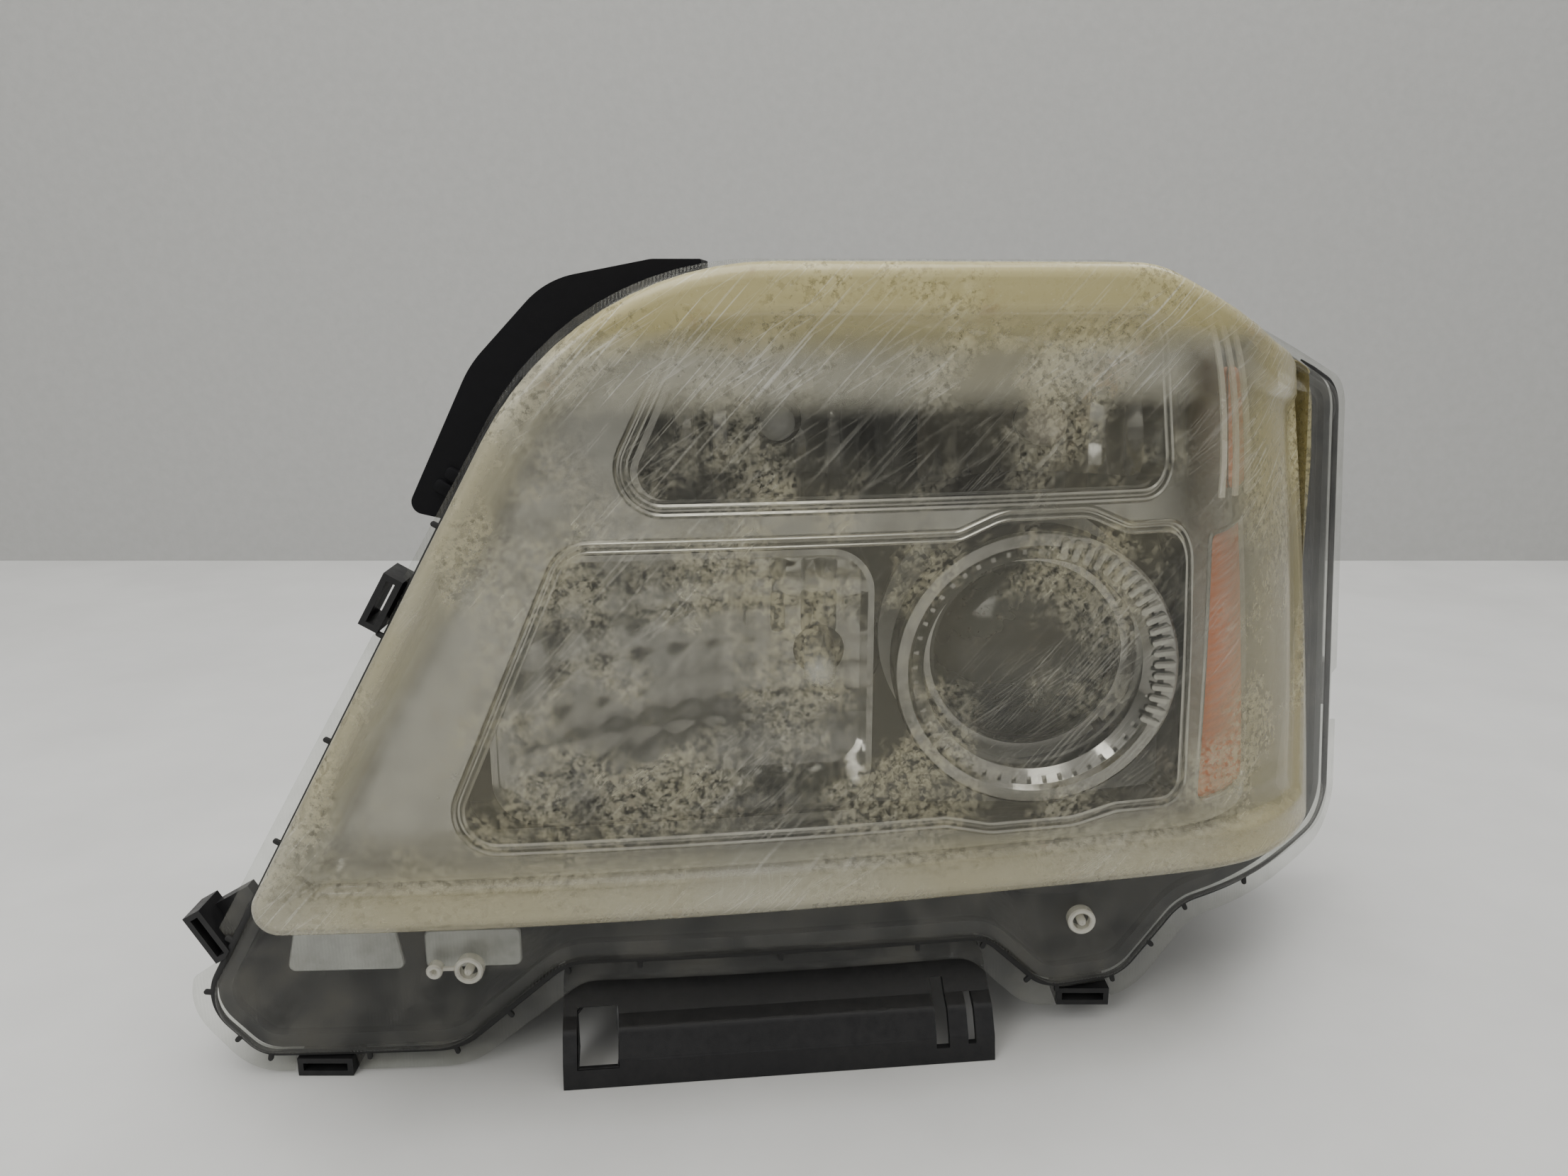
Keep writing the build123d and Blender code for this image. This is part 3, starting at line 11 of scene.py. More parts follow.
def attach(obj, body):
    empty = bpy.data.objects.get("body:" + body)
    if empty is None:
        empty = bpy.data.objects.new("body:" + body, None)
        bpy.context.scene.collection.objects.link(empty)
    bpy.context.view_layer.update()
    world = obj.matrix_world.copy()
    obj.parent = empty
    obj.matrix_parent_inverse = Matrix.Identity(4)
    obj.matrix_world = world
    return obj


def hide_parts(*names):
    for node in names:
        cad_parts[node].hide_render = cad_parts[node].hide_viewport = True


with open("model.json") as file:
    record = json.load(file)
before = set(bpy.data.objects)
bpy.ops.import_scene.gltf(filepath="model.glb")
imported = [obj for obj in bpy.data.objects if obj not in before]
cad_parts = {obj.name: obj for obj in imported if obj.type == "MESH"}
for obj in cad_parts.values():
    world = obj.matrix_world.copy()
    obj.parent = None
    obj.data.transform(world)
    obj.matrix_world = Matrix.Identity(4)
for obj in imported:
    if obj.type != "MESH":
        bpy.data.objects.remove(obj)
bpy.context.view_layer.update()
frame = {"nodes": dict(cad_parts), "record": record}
MM = 0.001
FORWARD = np.array([0.0, -1.0, 0.0])

# ---- shared shape of the lamp, in millimetres
LEAN = 0.133  # the outboard end leans inwards by this much of the height above LEAN_HEIGHT
LEAN_HEIGHT = 175.0
LEAN_START_X, LEAN_FULL_X = 60.0, 165.0
LENS_WALL = 3.0
FRONT_CURVE = [
    (-250, -151), (-190, -150.1), (-120, -146), (-50, -138.3), (20, -127.3), (75, -116.2),
    (110, -108), (135, -99), (152, -86), (165, -70), (174, -54), (182, -36), (189, -16), (195, 0), (201, 16),
]
PARTING_CURVE = [
    (-250, -107), (-190, -106), (-120, -102), (-50, -97), (25, -88), (75, -79),
    (110, -68), (140, -55), (165, -36), (188, -14), (206, 6), (226, 28),
]
FACE_END_X = 184.5  # where the front curve meets the skirt
SHOW_CORNERS = [(-195.5, 77), (FACE_END_X, 77), (FACE_END_X, 247), (150, 261.3), (98, 286.3), (-79.7, 286.3)]
SHOW_RADII = [9, 5, 5, 25, 60, 100]
SKIRT_CORNERS = [
    (-226, 30), (-208, 10), (-138, 10), (-98, 43.5), (56, 43.5), (80, 20), (110, 20), (134, 47),
    (214, 58), (210, 238), (150, 264), (98, 287.1), (-84, 287.1),
]
SKIRT_RADII = [16, 12, 22, 22, 18, 16, 16, 20, 14, 14, 25, 60, 100]
FLANGE_CORNERS = [
    (-236, 30), (-213, 1), (-134, 1), (-92, 34), (50, 34), (74, 9.5), (116, 9.5), (140, 38),
    (224, 49), (219, 240), (152, 266), (98, 287.5), (-86, 287.5),
]
FLANGE_RADII = [22, 22, 30, 16, 14, 24, 24, 18, 20, 16, 25, 60, 100]
SKIRT_DEPTH, FLANGE_FRONT = 8.0, 3.0
PROJECTOR = (69.0, 148.0)
HIGH = (-6.0, 141.0)
BULBS_UPPER = [(-22.0, 231.0), (74.0, 231.0)]
CLIPS = [
    # x, z, turn of the edge in degrees, how far the notch goes in
    (-219.7, 58.0, -60.0, 1.0), (-186.0, 1.0, 0.0, 7.2), (96.0, 9.5, 0.0, 7.2),
    (222.0, 105.0, 90.0, 4.0), (-150.8, 176.0, -120.0, 2.0),
]
NOTCH_HALF, NOTCH_REACH = 11.0, 20.0


def spokes(count):
    """Angles spaced evenly round a full turn."""
    return np.linspace(0, 2 * math.pi, count, endpoint=False)


def circle(centre, radius, sides=40):
    a = spokes(sides)
    return np.stack([centre[0] + radius * np.cos(a), centre[1] + radius * np.sin(a)], 1)


def unit(vectors):
    """Rows of vectors, each scaled to length 1."""
    return vectors / np.linalg.norm(vectors, axis=1)[:, None]


class PlanCurve:
    """A smooth plan curve: points along it, pushed outwards, and leant with height."""

    def __init__(self, points):
        p = np.array(points, float)
        t = np.concatenate([[0], np.cumsum(np.hypot(*np.diff(p, axis=0).T))])
        fine = np.linspace(0, t[-1], 3000)
        xy = np.stack([self.natural(t, p[:, i], fine) for i in (0, 1)], 1)
        run = unit(np.gradient(xy, fine, axis=0))
        self.s = np.concatenate([[0], np.cumsum(np.hypot(*np.diff(xy, axis=0).T))])
        self.x, self.y = xy[:, 0], xy[:, 1]
        self.out_x, self.out_y = run[:, 1], -run[:, 0]
        share = np.clip((self.x - LEAN_START_X) / (LEAN_FULL_X - LEAN_START_X), 0, 1)
        self.share = share * share * (3 - 2 * share)

    @staticmethod
    def natural(t, v, at):
        """A natural cubic spline through (t, v)."""
        n, h = len(t), np.diff(t)
        a, b = np.eye(n), np.zeros(n)
        for i in range(1, n - 1):
            a[i, i - 1:i + 2] = h[i - 1], 2 * (h[i - 1] + h[i]), h[i]
            b[i] = 6 * ((v[i + 1] - v[i]) / h[i] - (v[i] - v[i - 1]) / h[i - 1])
        m = np.linalg.solve(a, b)
        i = np.clip(np.searchsorted(t, at) - 1, 0, n - 2)
        u, w = at - t[i], t[i + 1] - at
        low, high = v[i] / h[i] - m[i] * h[i] / 6, v[i + 1] / h[i] - m[i + 1] * h[i] / 6
        return (m[i] * w ** 3 + m[i + 1] * u ** 3) / (6 * h[i]) + low * w + high * u

    def at(self, s, z, out):
        """Points at arc length s and height z, pushed out of the curve."""
        s, z, out = np.broadcast_arrays(s, z, out)
        x, y, out_x, out_y, share = (
            np.interp(s, self.s, table) for table in (self.x, self.y, self.out_x, self.out_y, self.share)
        )
        return np.stack([x + out_x * out + LEAN * (LEAN_HEIGHT - z) * share, y + out_y * out, z], -1)

    def lay(self, flat, out):
        """Unrolled points, of arc length and height, laid on the curve pushed out."""
        return self.at(flat[:, 0], flat[:, 1], out)

    def find(self, x, z, out):
        """The arc length whose point, pushed out and leant, is at x."""
        found = []
        for one_x, one_z in np.broadcast(x, z):
            line = self.x + self.out_x * out + LEAN * (LEAN_HEIGHT - one_z) * self.share
            found.append(np.interp(one_x, np.maximum.accumulate(line), self.s))
        return np.array(found)

    def unroll(self, corners, out):
        """Front-view corners as arc length and height."""
        c = np.array(corners, float)
        return np.stack([self.find(c[:, 0], c[:, 1], out), c[:, 1]], 1)

    def drop(self, points, out):
        """Front-view points laid on the curve pushed out."""
        points = np.asarray(points, float)
        return self.at(self.find(points[:, 0], points[:, 1], out), points[:, 1], out)


front, parting = PlanCurve(FRONT_CURVE), PlanCurve(PARTING_CURVE)
SMALLEST_RADIUS = 1.5
ARC_REACH = 0.48  # how much of a side one corner's arc may take


class Outline:
    """A closed outline with rounded corners, whose insets all have the same number of points."""

    def __init__(self, corners, radii, runs=None, step=6.0, arc=12):
        self.corners, self.radii, self.arc = np.array(corners, float), radii, arc
        after = np.roll(self.corners, -1, 0)
        lengths = np.linalg.norm(after - self.corners, axis=1)
        self.runs = runs or [max(2, int(length / step)) for length in lengths]
        self.side = 1.0 if np.cross(self.corners, after).sum() > 0 else -1.0

    def ring(self, inset):
        """The outline's points, moved inwards by inset."""
        c, count = self.corners, len(self.corners)
        after = unit(np.roll(c, -1, 0) - c)
        before = np.roll(after, 1, 0)
        n0, n1 = (np.stack([-d[:, 1], d[:, 0]], 1) * self.side for d in (before, after))
        dot = (n0 * n1).sum(1)
        moved = c + (n0 + n1) * inset / (1 + dot)[:, None]
        turn = np.arctan2(np.cross(before, after), (before * after).sum(1)) * self.side
        arcs = []
        for i in range(count):
            convex = turn[i] > 0
            r = max(self.radii[i] + (-inset if convex else inset), SMALLEST_RADIUS)
            reach = min(
                r * math.tan(abs(turn[i]) / 2),
                ARC_REACH * np.linalg.norm(moved[i] - moved[i - 1]),
                ARC_REACH * np.linalg.norm(moved[(i + 1) % count] - moved[i]),
            )
            r = reach / max(math.tan(abs(turn[i]) / 2), 1e-6)
            start = moved[i] - before[i] * reach
            centre = start + (n0[i] if convex else -n0[i]) * r
            spoke = start - centre
            angles = np.linspace(0, turn[i] * self.side, self.arc + 1)
            cos, sin = np.cos(angles), np.sin(angles)
            swung = [cos * spoke[0] - sin * spoke[1], sin * spoke[0] + cos * spoke[1]]
            arcs.append(centre + np.stack(swung, 1))
        points = []
        for i in range(count):
            points.append(arcs[i])
            t = np.linspace(0, 1, self.runs[i] + 1)[1:-1, None]
            points.append(arcs[i][-1] * (1 - t) + arcs[(i + 1) % count][0] * t)
        return np.concatenate(points)

    def arc_middles(self):
        """The index of the middle of each corner's arc in a ring."""
        starts, at = [], 0
        for i in range(len(self.corners)):
            starts.append(at + self.arc // 2)
            at += self.arc + self.runs[i]
        return starts


# ---- mesh tools
class Mesh:
    """Collects vertices and faces in millimetres, then becomes one object."""

    def __init__(self):
        self.points, self.faces, self.marks = [], [], []

    def add(self, points):
        start = sum(len(p) for p in self.points)
        self.points.append(np.asarray(points, float).reshape(-1, 3))
        return np.arange(start, start + len(self.points[-1]))

    def bridge(self, a, b, closed=True, mark=0):
        n = len(a)
        for i in range(n if closed else n - 1):
            j = (i + 1) % n
            self.faces.append((a[i], a[j], b[j], b[i]))
            self.marks.append(mark)

    def loft(self, rings, mark=0):
        ids = [self.add(ring) for ring in rings]
        for a, b in zip(ids, ids[1:]):
            self.bridge(a, b, mark=mark)
        return ids

    def cap(self, ids):
        self.faces.append(tuple(ids))
        self.marks.append(0)

    def bar(self, rings):
        """Rings joined into a solid with a face at each end."""
        ids = self.loft(rings)
        self.cap(ids[0][::-1])
        self.cap(ids[-1])

    def tube(self, path, radius, sides=8):
        """A round bar along a path."""
        path = np.asarray(path, float)
        along = unit(np.gradient(path, axis=0))
        up = np.array([0.31, 0.17, 0.93])  # a direction that no bar runs along
        rings = []
        for p, d in zip(path, along):
            u = np.cross(d, up)
            u /= np.linalg.norm(u)
            v = np.cross(d, u)
            a = spokes(sides)[:, None]
            rings.append(p + radius * (np.cos(a) * u + np.sin(a) * v))
        self.bar(rings)

    def turned(self, x, z, profile, sides=48):
        """A closed ring or knob turned about the line through (x, z) along Y, from points of radius and y."""
        ids = [self.add(np.insert(circle((x, z), r, sides), 1, y, axis=1)) for r, y in profile]
        for low, high in zip(ids, ids[1:] + ids[:1]):
            self.bridge(low, high)

    def block(self, centre, along, across, half):
        """A small block with rounded edges, from its half sizes along, across and forwards."""
        r = 0.35 * min(half)
        u, v, top = half
        outline = Outline([(-u, -v), (u, -v), (u, v), (-u, v)], [2 * r] * 4, [2] * 4, arc=4)
        rings = []
        for inset, height in ((r, -top), (0, r - top), (0, top - r), (0.3 * r, top - 0.3 * r), (r, top)):
            flat = outline.ring(inset)
            rings.append(centre + flat[:, :1] * along + flat[:, 1:] * across + height * FORWARD)
        self.bar(rings)

    def fill(self, outer, holes, spacing, place, mark=0):
        """A sheet inside a flat loop and round flat holes, its points put in space by place(points).

        Its inner points stand in a staggered grid, clear of the loops.
        """
        loops = [np.asarray(outer, float)] + [np.asarray(h, float) for h in holes]
        flat, edges = [], []
        for loop in loops:
            start = len(flat)
            flat += [tuple(p) for p in loop]
            edges += [(start + i, start + (i + 1) % len(loop)) for i in range(len(loop))]
        low, high = loops[0].min(0), loops[0].max(0)
        ring_points = np.concatenate(loops)
        for i, u in enumerate(np.arange(low[0] + spacing / 2, high[0], spacing)):
            for v in np.arange(low[1] + spacing * (0.25 + 0.5 * (i % 2)), high[1], spacing):
                if np.min(np.hypot(ring_points[:, 0] - u, ring_points[:, 1] - v)) > spacing * 0.55:
                    flat.append((u, v))
        verts, _, tris, *_ = delaunay_2d_cdt([Vector(p) for p in flat], edges, [], 0, 1e-5)
        flat = np.array([(v.x, v.y) for v in verts])
        tris = np.array([t for t in tris if len(t) == 3])
        middle = flat[tris].mean(1)
        keep = inside(middle, loops[0])
        for hole in loops[1:]:
            keep &= ~inside(middle, hole)
        ids = self.add(place(flat))
        for t in tris[keep]:
            self.faces.append(tuple(ids[t]))
            self.marks.append(mark)

    def slab(self, outline, steps, lay):
        """A closed plate from steps of inset and height, put in space by lay(points, height)."""
        self.loft([lay(outline.ring(inset), height) for inset, height in steps])
        for inset, height in (steps[-1], steps[0]):
            self.fill(outline.ring(inset), [], 5.0, lambda flat: lay(flat, height))

    def build(self, name, weld=0.02, smooth=35.0, solid=0.0, inner=0):
        """The object, welded, and thickened inwards by solid. Its inner faces are inner slots further on."""
        points = np.concatenate(self.points) * MM
        mesh = bpy.data.meshes.new(name)
        mesh.from_pydata(points.tolist(), [], [tuple(int(i) for i in f) for f in self.faces])
        bm = bmesh.new()
        bm.from_mesh(mesh)
        for face, mark in zip(bm.faces, self.marks):
            face.material_index = mark
        bmesh.ops.remove_doubles(bm, verts=bm.verts, dist=weld * MM)
        bmesh.ops.dissolve_degenerate(bm, edges=bm.edges, dist=1e-7)
        loose = [v for v in bm.verts if not v.link_faces]
        bmesh.ops.delete(bm, geom=loose, context="VERTS")
        bmesh.ops.recalc_face_normals(bm, faces=bm.faces)
        if solid and sum(face.normal.y * face.calc_area() for face in bm.faces) > 0:
            bmesh.ops.reverse_faces(bm, faces=bm.faces)
        bm.to_mesh(mesh)
        bm.free()
        piece = show(name, mesh)
        if solid:
            thick = piece.modifiers.new("thick", "SOLIDIFY")
            thick.thickness, thick.offset = solid * MM, -1.0
            thick.use_even_offset, thick.use_quality_normals = False, True
            thick.thickness_clamp = 1.0
            thick.material_offset, thick.material_offset_rim = inner, 0
            applied = piece.evaluated_get(bpy.context.evaluated_depsgraph_get())
            piece.data = bpy.data.meshes.new_from_object(applied)
            piece.modifiers.clear()
        shade(piece, smooth)
        return piece

    def finish(self, name, body, slot, *nodes, looks=None, **build):
        """Builds a piece, gives it its looks (its slot's look unless others are given) and its body, and
        hides the CAD nodes that it replaces.
        """
        piece = self.build(name, **build)
        for material in looks or [LOOKS[slot]]:
            piece.data.materials.append(material)
        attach(piece, body)
        if nodes:
            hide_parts(*nodes)


def show(name, data):
    """A new object in the scene."""
    made = bpy.data.objects.new(name, data)
    bpy.context.scene.collection.objects.link(made)
    return made


def inside(points, loop):
    """Which points are inside a closed loop."""
    x, y = points[:, 0], points[:, 1]
    found = np.zeros(len(points), bool)
    for (x0, y0), (x1, y1) in zip(loop, np.roll(loop, -1, 0)):
        crosses = (y0 > y) != (y1 > y)
        with np.errstate(divide="ignore", invalid="ignore"):
            found ^= crosses & (x < (x1 - x0) * (y - y0) / (y1 - y0) + x0)
    return found


def shade(piece, angle):
    """Smooth shading with sharp edges past an angle."""
    bm = bmesh.new()
    bm.from_mesh(piece.data)
    for face in bm.faces:
        face.smooth = True
    for edge in bm.edges:
        edge.smooth = len(edge.link_faces) == 2 and edge.calc_face_angle(0.0) < math.radians(angle)
    bm.to_mesh(piece.data)
    bm.free()


# ---- materials
class Look:
    """A node material written in short steps. Lengths in it are metres of the object."""

    def __init__(self, name):
        self.material = bpy.data.materials.new(name)
        self.material.use_nodes = True
        self.tree = self.material.node_tree
        self.tree.nodes.clear()
        self.place = self.tree.nodes.new("ShaderNodeTexCoord").outputs["Object"]

    def node(self, kind, inputs, output=0, **settings):
        """Adds a node, sets it up, links or sets its inputs, and gives one of its outputs."""
        made = self.tree.nodes.new("ShaderNode" + kind)
        for key, value in settings.items():
            setattr(made, key, value)
        for key, value in inputs.items():
            socket = made.inputs[key]
            if isinstance(value, bpy.types.NodeSocket):
                self.tree.links.new(value, socket)
            else:
                socket.default_value = (*value, 1.0) if socket.type == "RGBA" else value
        return made.outputs[output]

    def turned(self, scale, turn):
        """The object's place, turned and then stretched along the turned axes."""
        inputs = {"Scale": [1 / a for a in scale], "Rotation": [math.radians(a) for a in turn]}
        return self.node("Mapping", {"Vector": self.place} | inputs, vector_type="TEXTURE")

    def noise(self, scale, detail=4.0, rough=0.55, where=None):
        inputs = {"Vector": where or self.place, "Scale": scale, "Detail": detail, "Roughness": rough}
        return self.node("TexNoise", inputs, "Fac")

    def waves(self, scale, axis="X"):
        return self.node("TexWave", {"Vector": self.place, "Scale": scale}, "Fac", bands_direction=axis)

    def part(self, axis):
        return self.node("SeparateXYZ", {"Vector": self.place}, axis)

    def span(self, value, low, high, to_low=0.0, to_high=1.0, smooth=False):
        inputs = {"Value": value, "From Min": low, "From Max": high, "To Min": to_low, "To Max": to_high}
        return self.node("MapRange", inputs, interpolation_type="SMOOTHSTEP" if smooth else "LINEAR")

    def math(self, operation, a, b):
        return self.node("Math", {0: a, 1: b}, operation=operation, use_clamp=operation == "ADD")

    def times(self, a, b):
        return self.math("MULTIPLY", a, b)

    def plus(self, a, b):
        return self.math("ADD", a, b)

    def most(self, first, *others):
        for other in others:
            first = self.math("MAXIMUM", first, other)
        return first

    def mix(self, share, a, b):
        return self.node("Mix", {"Factor": share, 6: a, 7: b}, 2, data_type="RGBA")

    def bump(self, height, depth, strength=1.0, under=None):
        inputs = {"Strength": strength, "Distance": depth * MM, "Height": height}
        return self.node("Bump", inputs | ({"Normal": under} if under else {}))

    def surface(self, **sockets):
        return self.node("BsdfPrincipled", {key.replace("_", " "): value for key, value in sockets.items()})

    def blend(self, share, a, b):
        return self.node("MixShader", {0: share, 1: a, 2: b})

    def clear(self, colour):
        return self.node("BsdfTransparent", {"Color": colour})

    def gloss(self, roughness, normal=None):
        inputs = {"Color": (1.0, 1.0, 1.0), "Roughness": roughness}
        return self.node("BsdfGlossy", inputs | ({"Normal": normal} if normal else {}))

    def coated(self, share, through, film, gloss, polish, relief=None):
        """Clear plastic under a share of film, glossier where it is seen at a glancing angle."""
        facing = self.node("LayerWeight", {"Blend": 0.5}, "Facing")
        glancing = self.span(self.math("POWER", facing, 3.5), 0.0, 1.0, *gloss)
        body = self.blend(share, self.clear(through), film)
        return self.done(self.blend(glancing, body, self.gloss(polish, relief)))

    def done(self, shader):
        self.tree.links.new(shader, self.tree.nodes.new("ShaderNodeOutputMaterial").inputs["Surface"])
        return self.material


BEIGE, PALE, YELLOW = (0.44, 0.405, 0.27), (0.48, 0.465, 0.38), (0.50, 0.44, 0.215)
BROWN, FLAKE, SCRATCH = (0.17, 0.09, 0.03), (0.34, 0.31, 0.19), (0.80, 0.80, 0.76)


def hazed_lens():
    """Sun-worn polycarbonate: a yellowed film with flakes, holes worn through it, scratches and stains, and
    one band of painted highlight.
    """
    look = Look("lens_haze")
    height, across = look.part("Z"), look.part("X")
    broad, patchy, fine = look.noise(11.0, 3.0), look.noise(26.0, 5.0, 0.65), look.noise(420.0, 6.0, 0.70)
    # the film is thick along the edges of the face, and thin in the middle
    top = look.span(height, 0.248, 0.280, 0.0, 0.70, True)
    low = look.span(height, 0.104, 0.080, 0.0, 0.44, True)
    right = look.span(across, 0.108, 0.155, 0.0, 1.0, True)
    right = look.times(right, look.span(height, 0.19, 0.22, 0.30, 0.52))
    slant = look.plus(look.span(across, -0.2, 0.2, 0.0, 0.4), look.span(height, 0.077, 0.287, 0.12, 0.0))
    left = look.span(slant, 0.146, 0.122, 0.0, 0.55, True)
    # a pale band of film, brighter in patches, at the height of the upper reflector's shelf: a painted
    # highlight that stands in for the shelf's lit top seen through the lens
    shelf = look.times(look.span(height, 0.238, 0.252, 0.0, 0.44, True), look.span(across, 0.12, 0.105))
    shelf = look.times(shelf, look.span(patchy, 0.3, 0.6, 0.55, 1.1))
    veil = look.most(look.span(broad, 0.32, 0.68, 0.0, 0.075), look.most(top, low, left, right, shelf))
    # flakes lie in patches, and holes are worn through the film in others
    zone = look.times(look.span(patchy, 0.47, 0.57), look.span(broad, 0.40, 0.52))
    zone = look.times(zone, look.span(height, 0.08, 0.12))
    flakes = look.times(zone, look.span(fine, 0.46, 0.56))
    holes = look.times(look.span(patchy, 0.46, 0.53), look.span(fine, 0.47, 0.43))
    # two sets of fine scratches, stretched noise at two slants
    steep = look.noise(50.0, 1.0, 0.5, look.turned((26.0, 1, 0.5), (0, 42, 0)))
    flat = look.noise(50.0, 1.0, 0.5, look.turned((30.0, 1, 0.6), (0, 58, 0)))
    brushed = look.most(look.span(steep, 0.61, 0.70, 0.0, 0.40), look.span(flat, 0.62, 0.72, 0.0, 0.34))
    brushed = look.times(brushed, look.span(broad, 0.62, 0.42))
    marks = look.most(brushed, look.span(look.noise(700.0, 2.0), 0.66, 0.76, 0.0, 0.18))
    stain = look.times(look.span(look.noise(34.0, 6.0, 0.7), 0.61, 0.69), look.span(fine, 0.46, 0.54))
    share = look.times(veil, look.span(holes, 0.0, 1.0, 1.0, 0.60))
    for layer, weight in ((flakes, 0.36), (marks, 0.30), (stain, 0.12)):
        share = look.plus(share, look.times(layer, weight))
    colour = look.mix(look.span(broad, 0.35, 0.65), PALE, BEIGE)
    colour = look.mix(look.span(look.most(top, right), 0.15, 0.45), colour, YELLOW)
    colour = look.mix(look.times(flakes, 0.45), colour, FLAKE)
    colour = look.mix(look.times(stain, 0.5), colour, BROWN)
    colour = look.mix(marks, colour, SCRATCH)
    relief = look.bump(look.noise(30.0, 3.0), 0.15, 0.5, look.bump(brushed, 0.04))
    roughness = look.span(fine, 0.35, 0.65, 0.22, 0.42)
    film = look.surface(Base_Color=colour, Roughness=roughness, IOR=1.5, Normal=relief)
    return look.coated(share, (0.98, 0.975, 0.95), film, (0.015, 0.26), 0.10, relief)


def clear_skirt():
    """The lens's clear skirt and flange, with fine upright flutes."""
    look = Look("lens_skirt")
    flutes = look.waves(260.0)
    dust = look.noise(60.0, 6.0, 0.6)
    share = look.plus(look.span(dust, 0.42, 0.75, 0.0, 0.12), look.times(flutes, 0.025))
    relief = look.bump(flutes, 0.3, 0.6)
    colour = look.mix(look.span(dust, 0.4, 0.7), (0.40, 0.395, 0.37), (0.26, 0.24, 0.19))
    film = look.surface(Base_Color=colour, Roughness=0.42, IOR=1.5, Normal=relief)
    return look.coated(share, (0.93, 0.935, 0.92), film, (0.02, 0.30), 0.14, relief)


def lens_inner():
    """The lens's inner faces: clean and clear."""
    look = Look("lens_inner")
    dust = look.noise(40.0, 4.0)
    film = look.surface(Base_Color=(0.5, 0.49, 0.45), Roughness=look.span(dust, 0.3, 0.7, 0.3, 0.5))
    return look.coated(look.span(dust, 0.3, 0.7, 0.0, 0.012), (0.99, 0.99, 0.985), film, (0.0, 0.12), 0.1)


def ribs_painted_highlight():
    """Thick moulded ribs of the lens, under a pale whitish film: a painted highlight that stands in for the
    light the clear ribs catch.
    """
    look = Look("lens_ribs_painted_highlight")
    cloud = look.noise(60.0, 4.0)
    rough = look.span(cloud, 0.3, 0.7, 0.12, 0.3)
    # the pale film and its large share are a painted highlight, not haze
    film = look.surface(Base_Color=(0.85, 0.83, 0.74), Roughness=rough, IOR=1.5)
    return look.coated(look.span(cloud, 0.3, 0.7, 0.30, 0.48), (0.95, 0.94, 0.90), film, (0.07, 0.6), 0.08)


def chrome(name, tint, polish, ripple=0.0):
    """Metallised plastic: bright, with faint moulding waves and dust."""
    look = Look(name)
    dust = look.noise(55.0, 6.0, 0.65)
    broad = look.noise(12.0, 2.0)
    colour = look.mix(look.span(dust, 0.45, 0.8, 0.0, 0.5), tint, tuple(c * 0.72 for c in tint))
    relief = look.bump(broad, 0.6 + ripple, 0.35)
    roughness = look.span(dust, 0.35, 0.8, polish, polish + 0.16)
    return look.done(look.surface(Base_Color=colour, Metallic=1.0, Roughness=roughness, Normal=relief))


def plastic(name, colour, worn, roughness, grain, depth, dust, shine=0.5):
    """Moulded plastic: fine grain, dust in broad patches, and pale scuffs."""
    look = Look(name)
    broad, mottled = look.noise(10.0, 4.0, 0.5), look.noise(260.0, 6.0, 0.7)
    dusty = look.times(look.span(broad, 0.30, 0.80, 0.15 * dust, 0.8 * dust), look.span(mottled, 0.25, 0.75))
    strokes = look.noise(40.0, 3.0, 0.5, look.turned((6.0, 1, 0.5), (10, 24, 5)))
    scuffs = look.span(strokes, 0.68, 0.80, 0.0, 0.35 * dust)
    shade_of = look.mix(look.span(mottled, 0.3, 0.7), colour, tuple(c * 1.25 for c in colour))
    shade_of = look.mix(look.most(dusty, scuffs), shade_of, worn)
    relief = look.bump(look.noise(grain * 10, 2.0), depth, 0.6, look.bump(broad, 0.3, 0.4))
    rough = look.span(look.plus(mottled, dusty), 0.3, 1.0, roughness - 0.08, roughness + 0.25)
    skin = {"Base_Color": shade_of, "Roughness": rough, "Normal": relief}
    return look.done(look.surface(IOR=1.49, Specular_IOR_Level=shine, **skin))


def rubber(name, colour):
    """Matt rubber with a powdery bloom."""
    look = Look(name)
    powder = look.noise(120.0, 5.0, 0.7)
    shade_of = look.mix(look.span(powder, 0.45, 0.8, 0.0, 0.5), colour, tuple(c * 2.6 for c in colour))
    relief = look.bump(look.noise(1800.0, 2.0), 0.05, 0.6)
    rough = look.span(powder, 0.3, 0.8, 0.62, 0.88)
    return look.done(look.surface(Base_Color=shade_of, Roughness=rough, Normal=relief, IOR=1.45))


def metal(name, colour, roughness, brushed=0.0, turn=(0, 0, 0)):
    """Plated or cast metal, with brushing or casting grain and dull spots."""
    look = Look(name)
    spots = look.noise(70.0, 6.0, 0.65)
    grain = look.noise(900.0, 3.0, 0.6, look.turned((1, 1 - brushed * 0.95, 1), turn))
    shade_of = look.mix(look.span(spots, 0.45, 0.75, 0.0, 0.6), colour, tuple(c * 0.62 for c in colour))
    relief = look.bump(grain, 0.05, 0.5)
    rough = look.span(spots, 0.3, 0.8, roughness, roughness + 0.22)
    return look.done(look.surface(Base_Color=shade_of, Metallic=1.0, Roughness=rough, Normal=relief))


def tinted(name, colour, clear_share, through, roughness=0.12, ribs=0.0):
    """Coloured or clear glass-like plastic that shows a share of what is behind it."""
    look = Look(name)
    cloud = look.noise(35.0, 4.0)
    height = look.plus(look.times(cloud, 0.3), look.waves(90.0, "Z") if ribs else 0.0)
    relief = look.bump(height, 0.2 + ribs, 0.5)
    shade_of = look.mix(look.span(cloud, 0.3, 0.7), colour, tuple(c * 0.7 for c in colour))
    rough = look.span(cloud, 0.3, 0.7, roughness, roughness + 0.12)
    skin = look.surface(Base_Color=shade_of, Roughness=rough, Normal=relief, IOR=1.5)
    share = look.span(cloud, 0.25, 0.75, 1 - clear_share - 0.06, 1 - clear_share + 0.06)
    return look.done(look.blend(share, look.clear(through), skin))


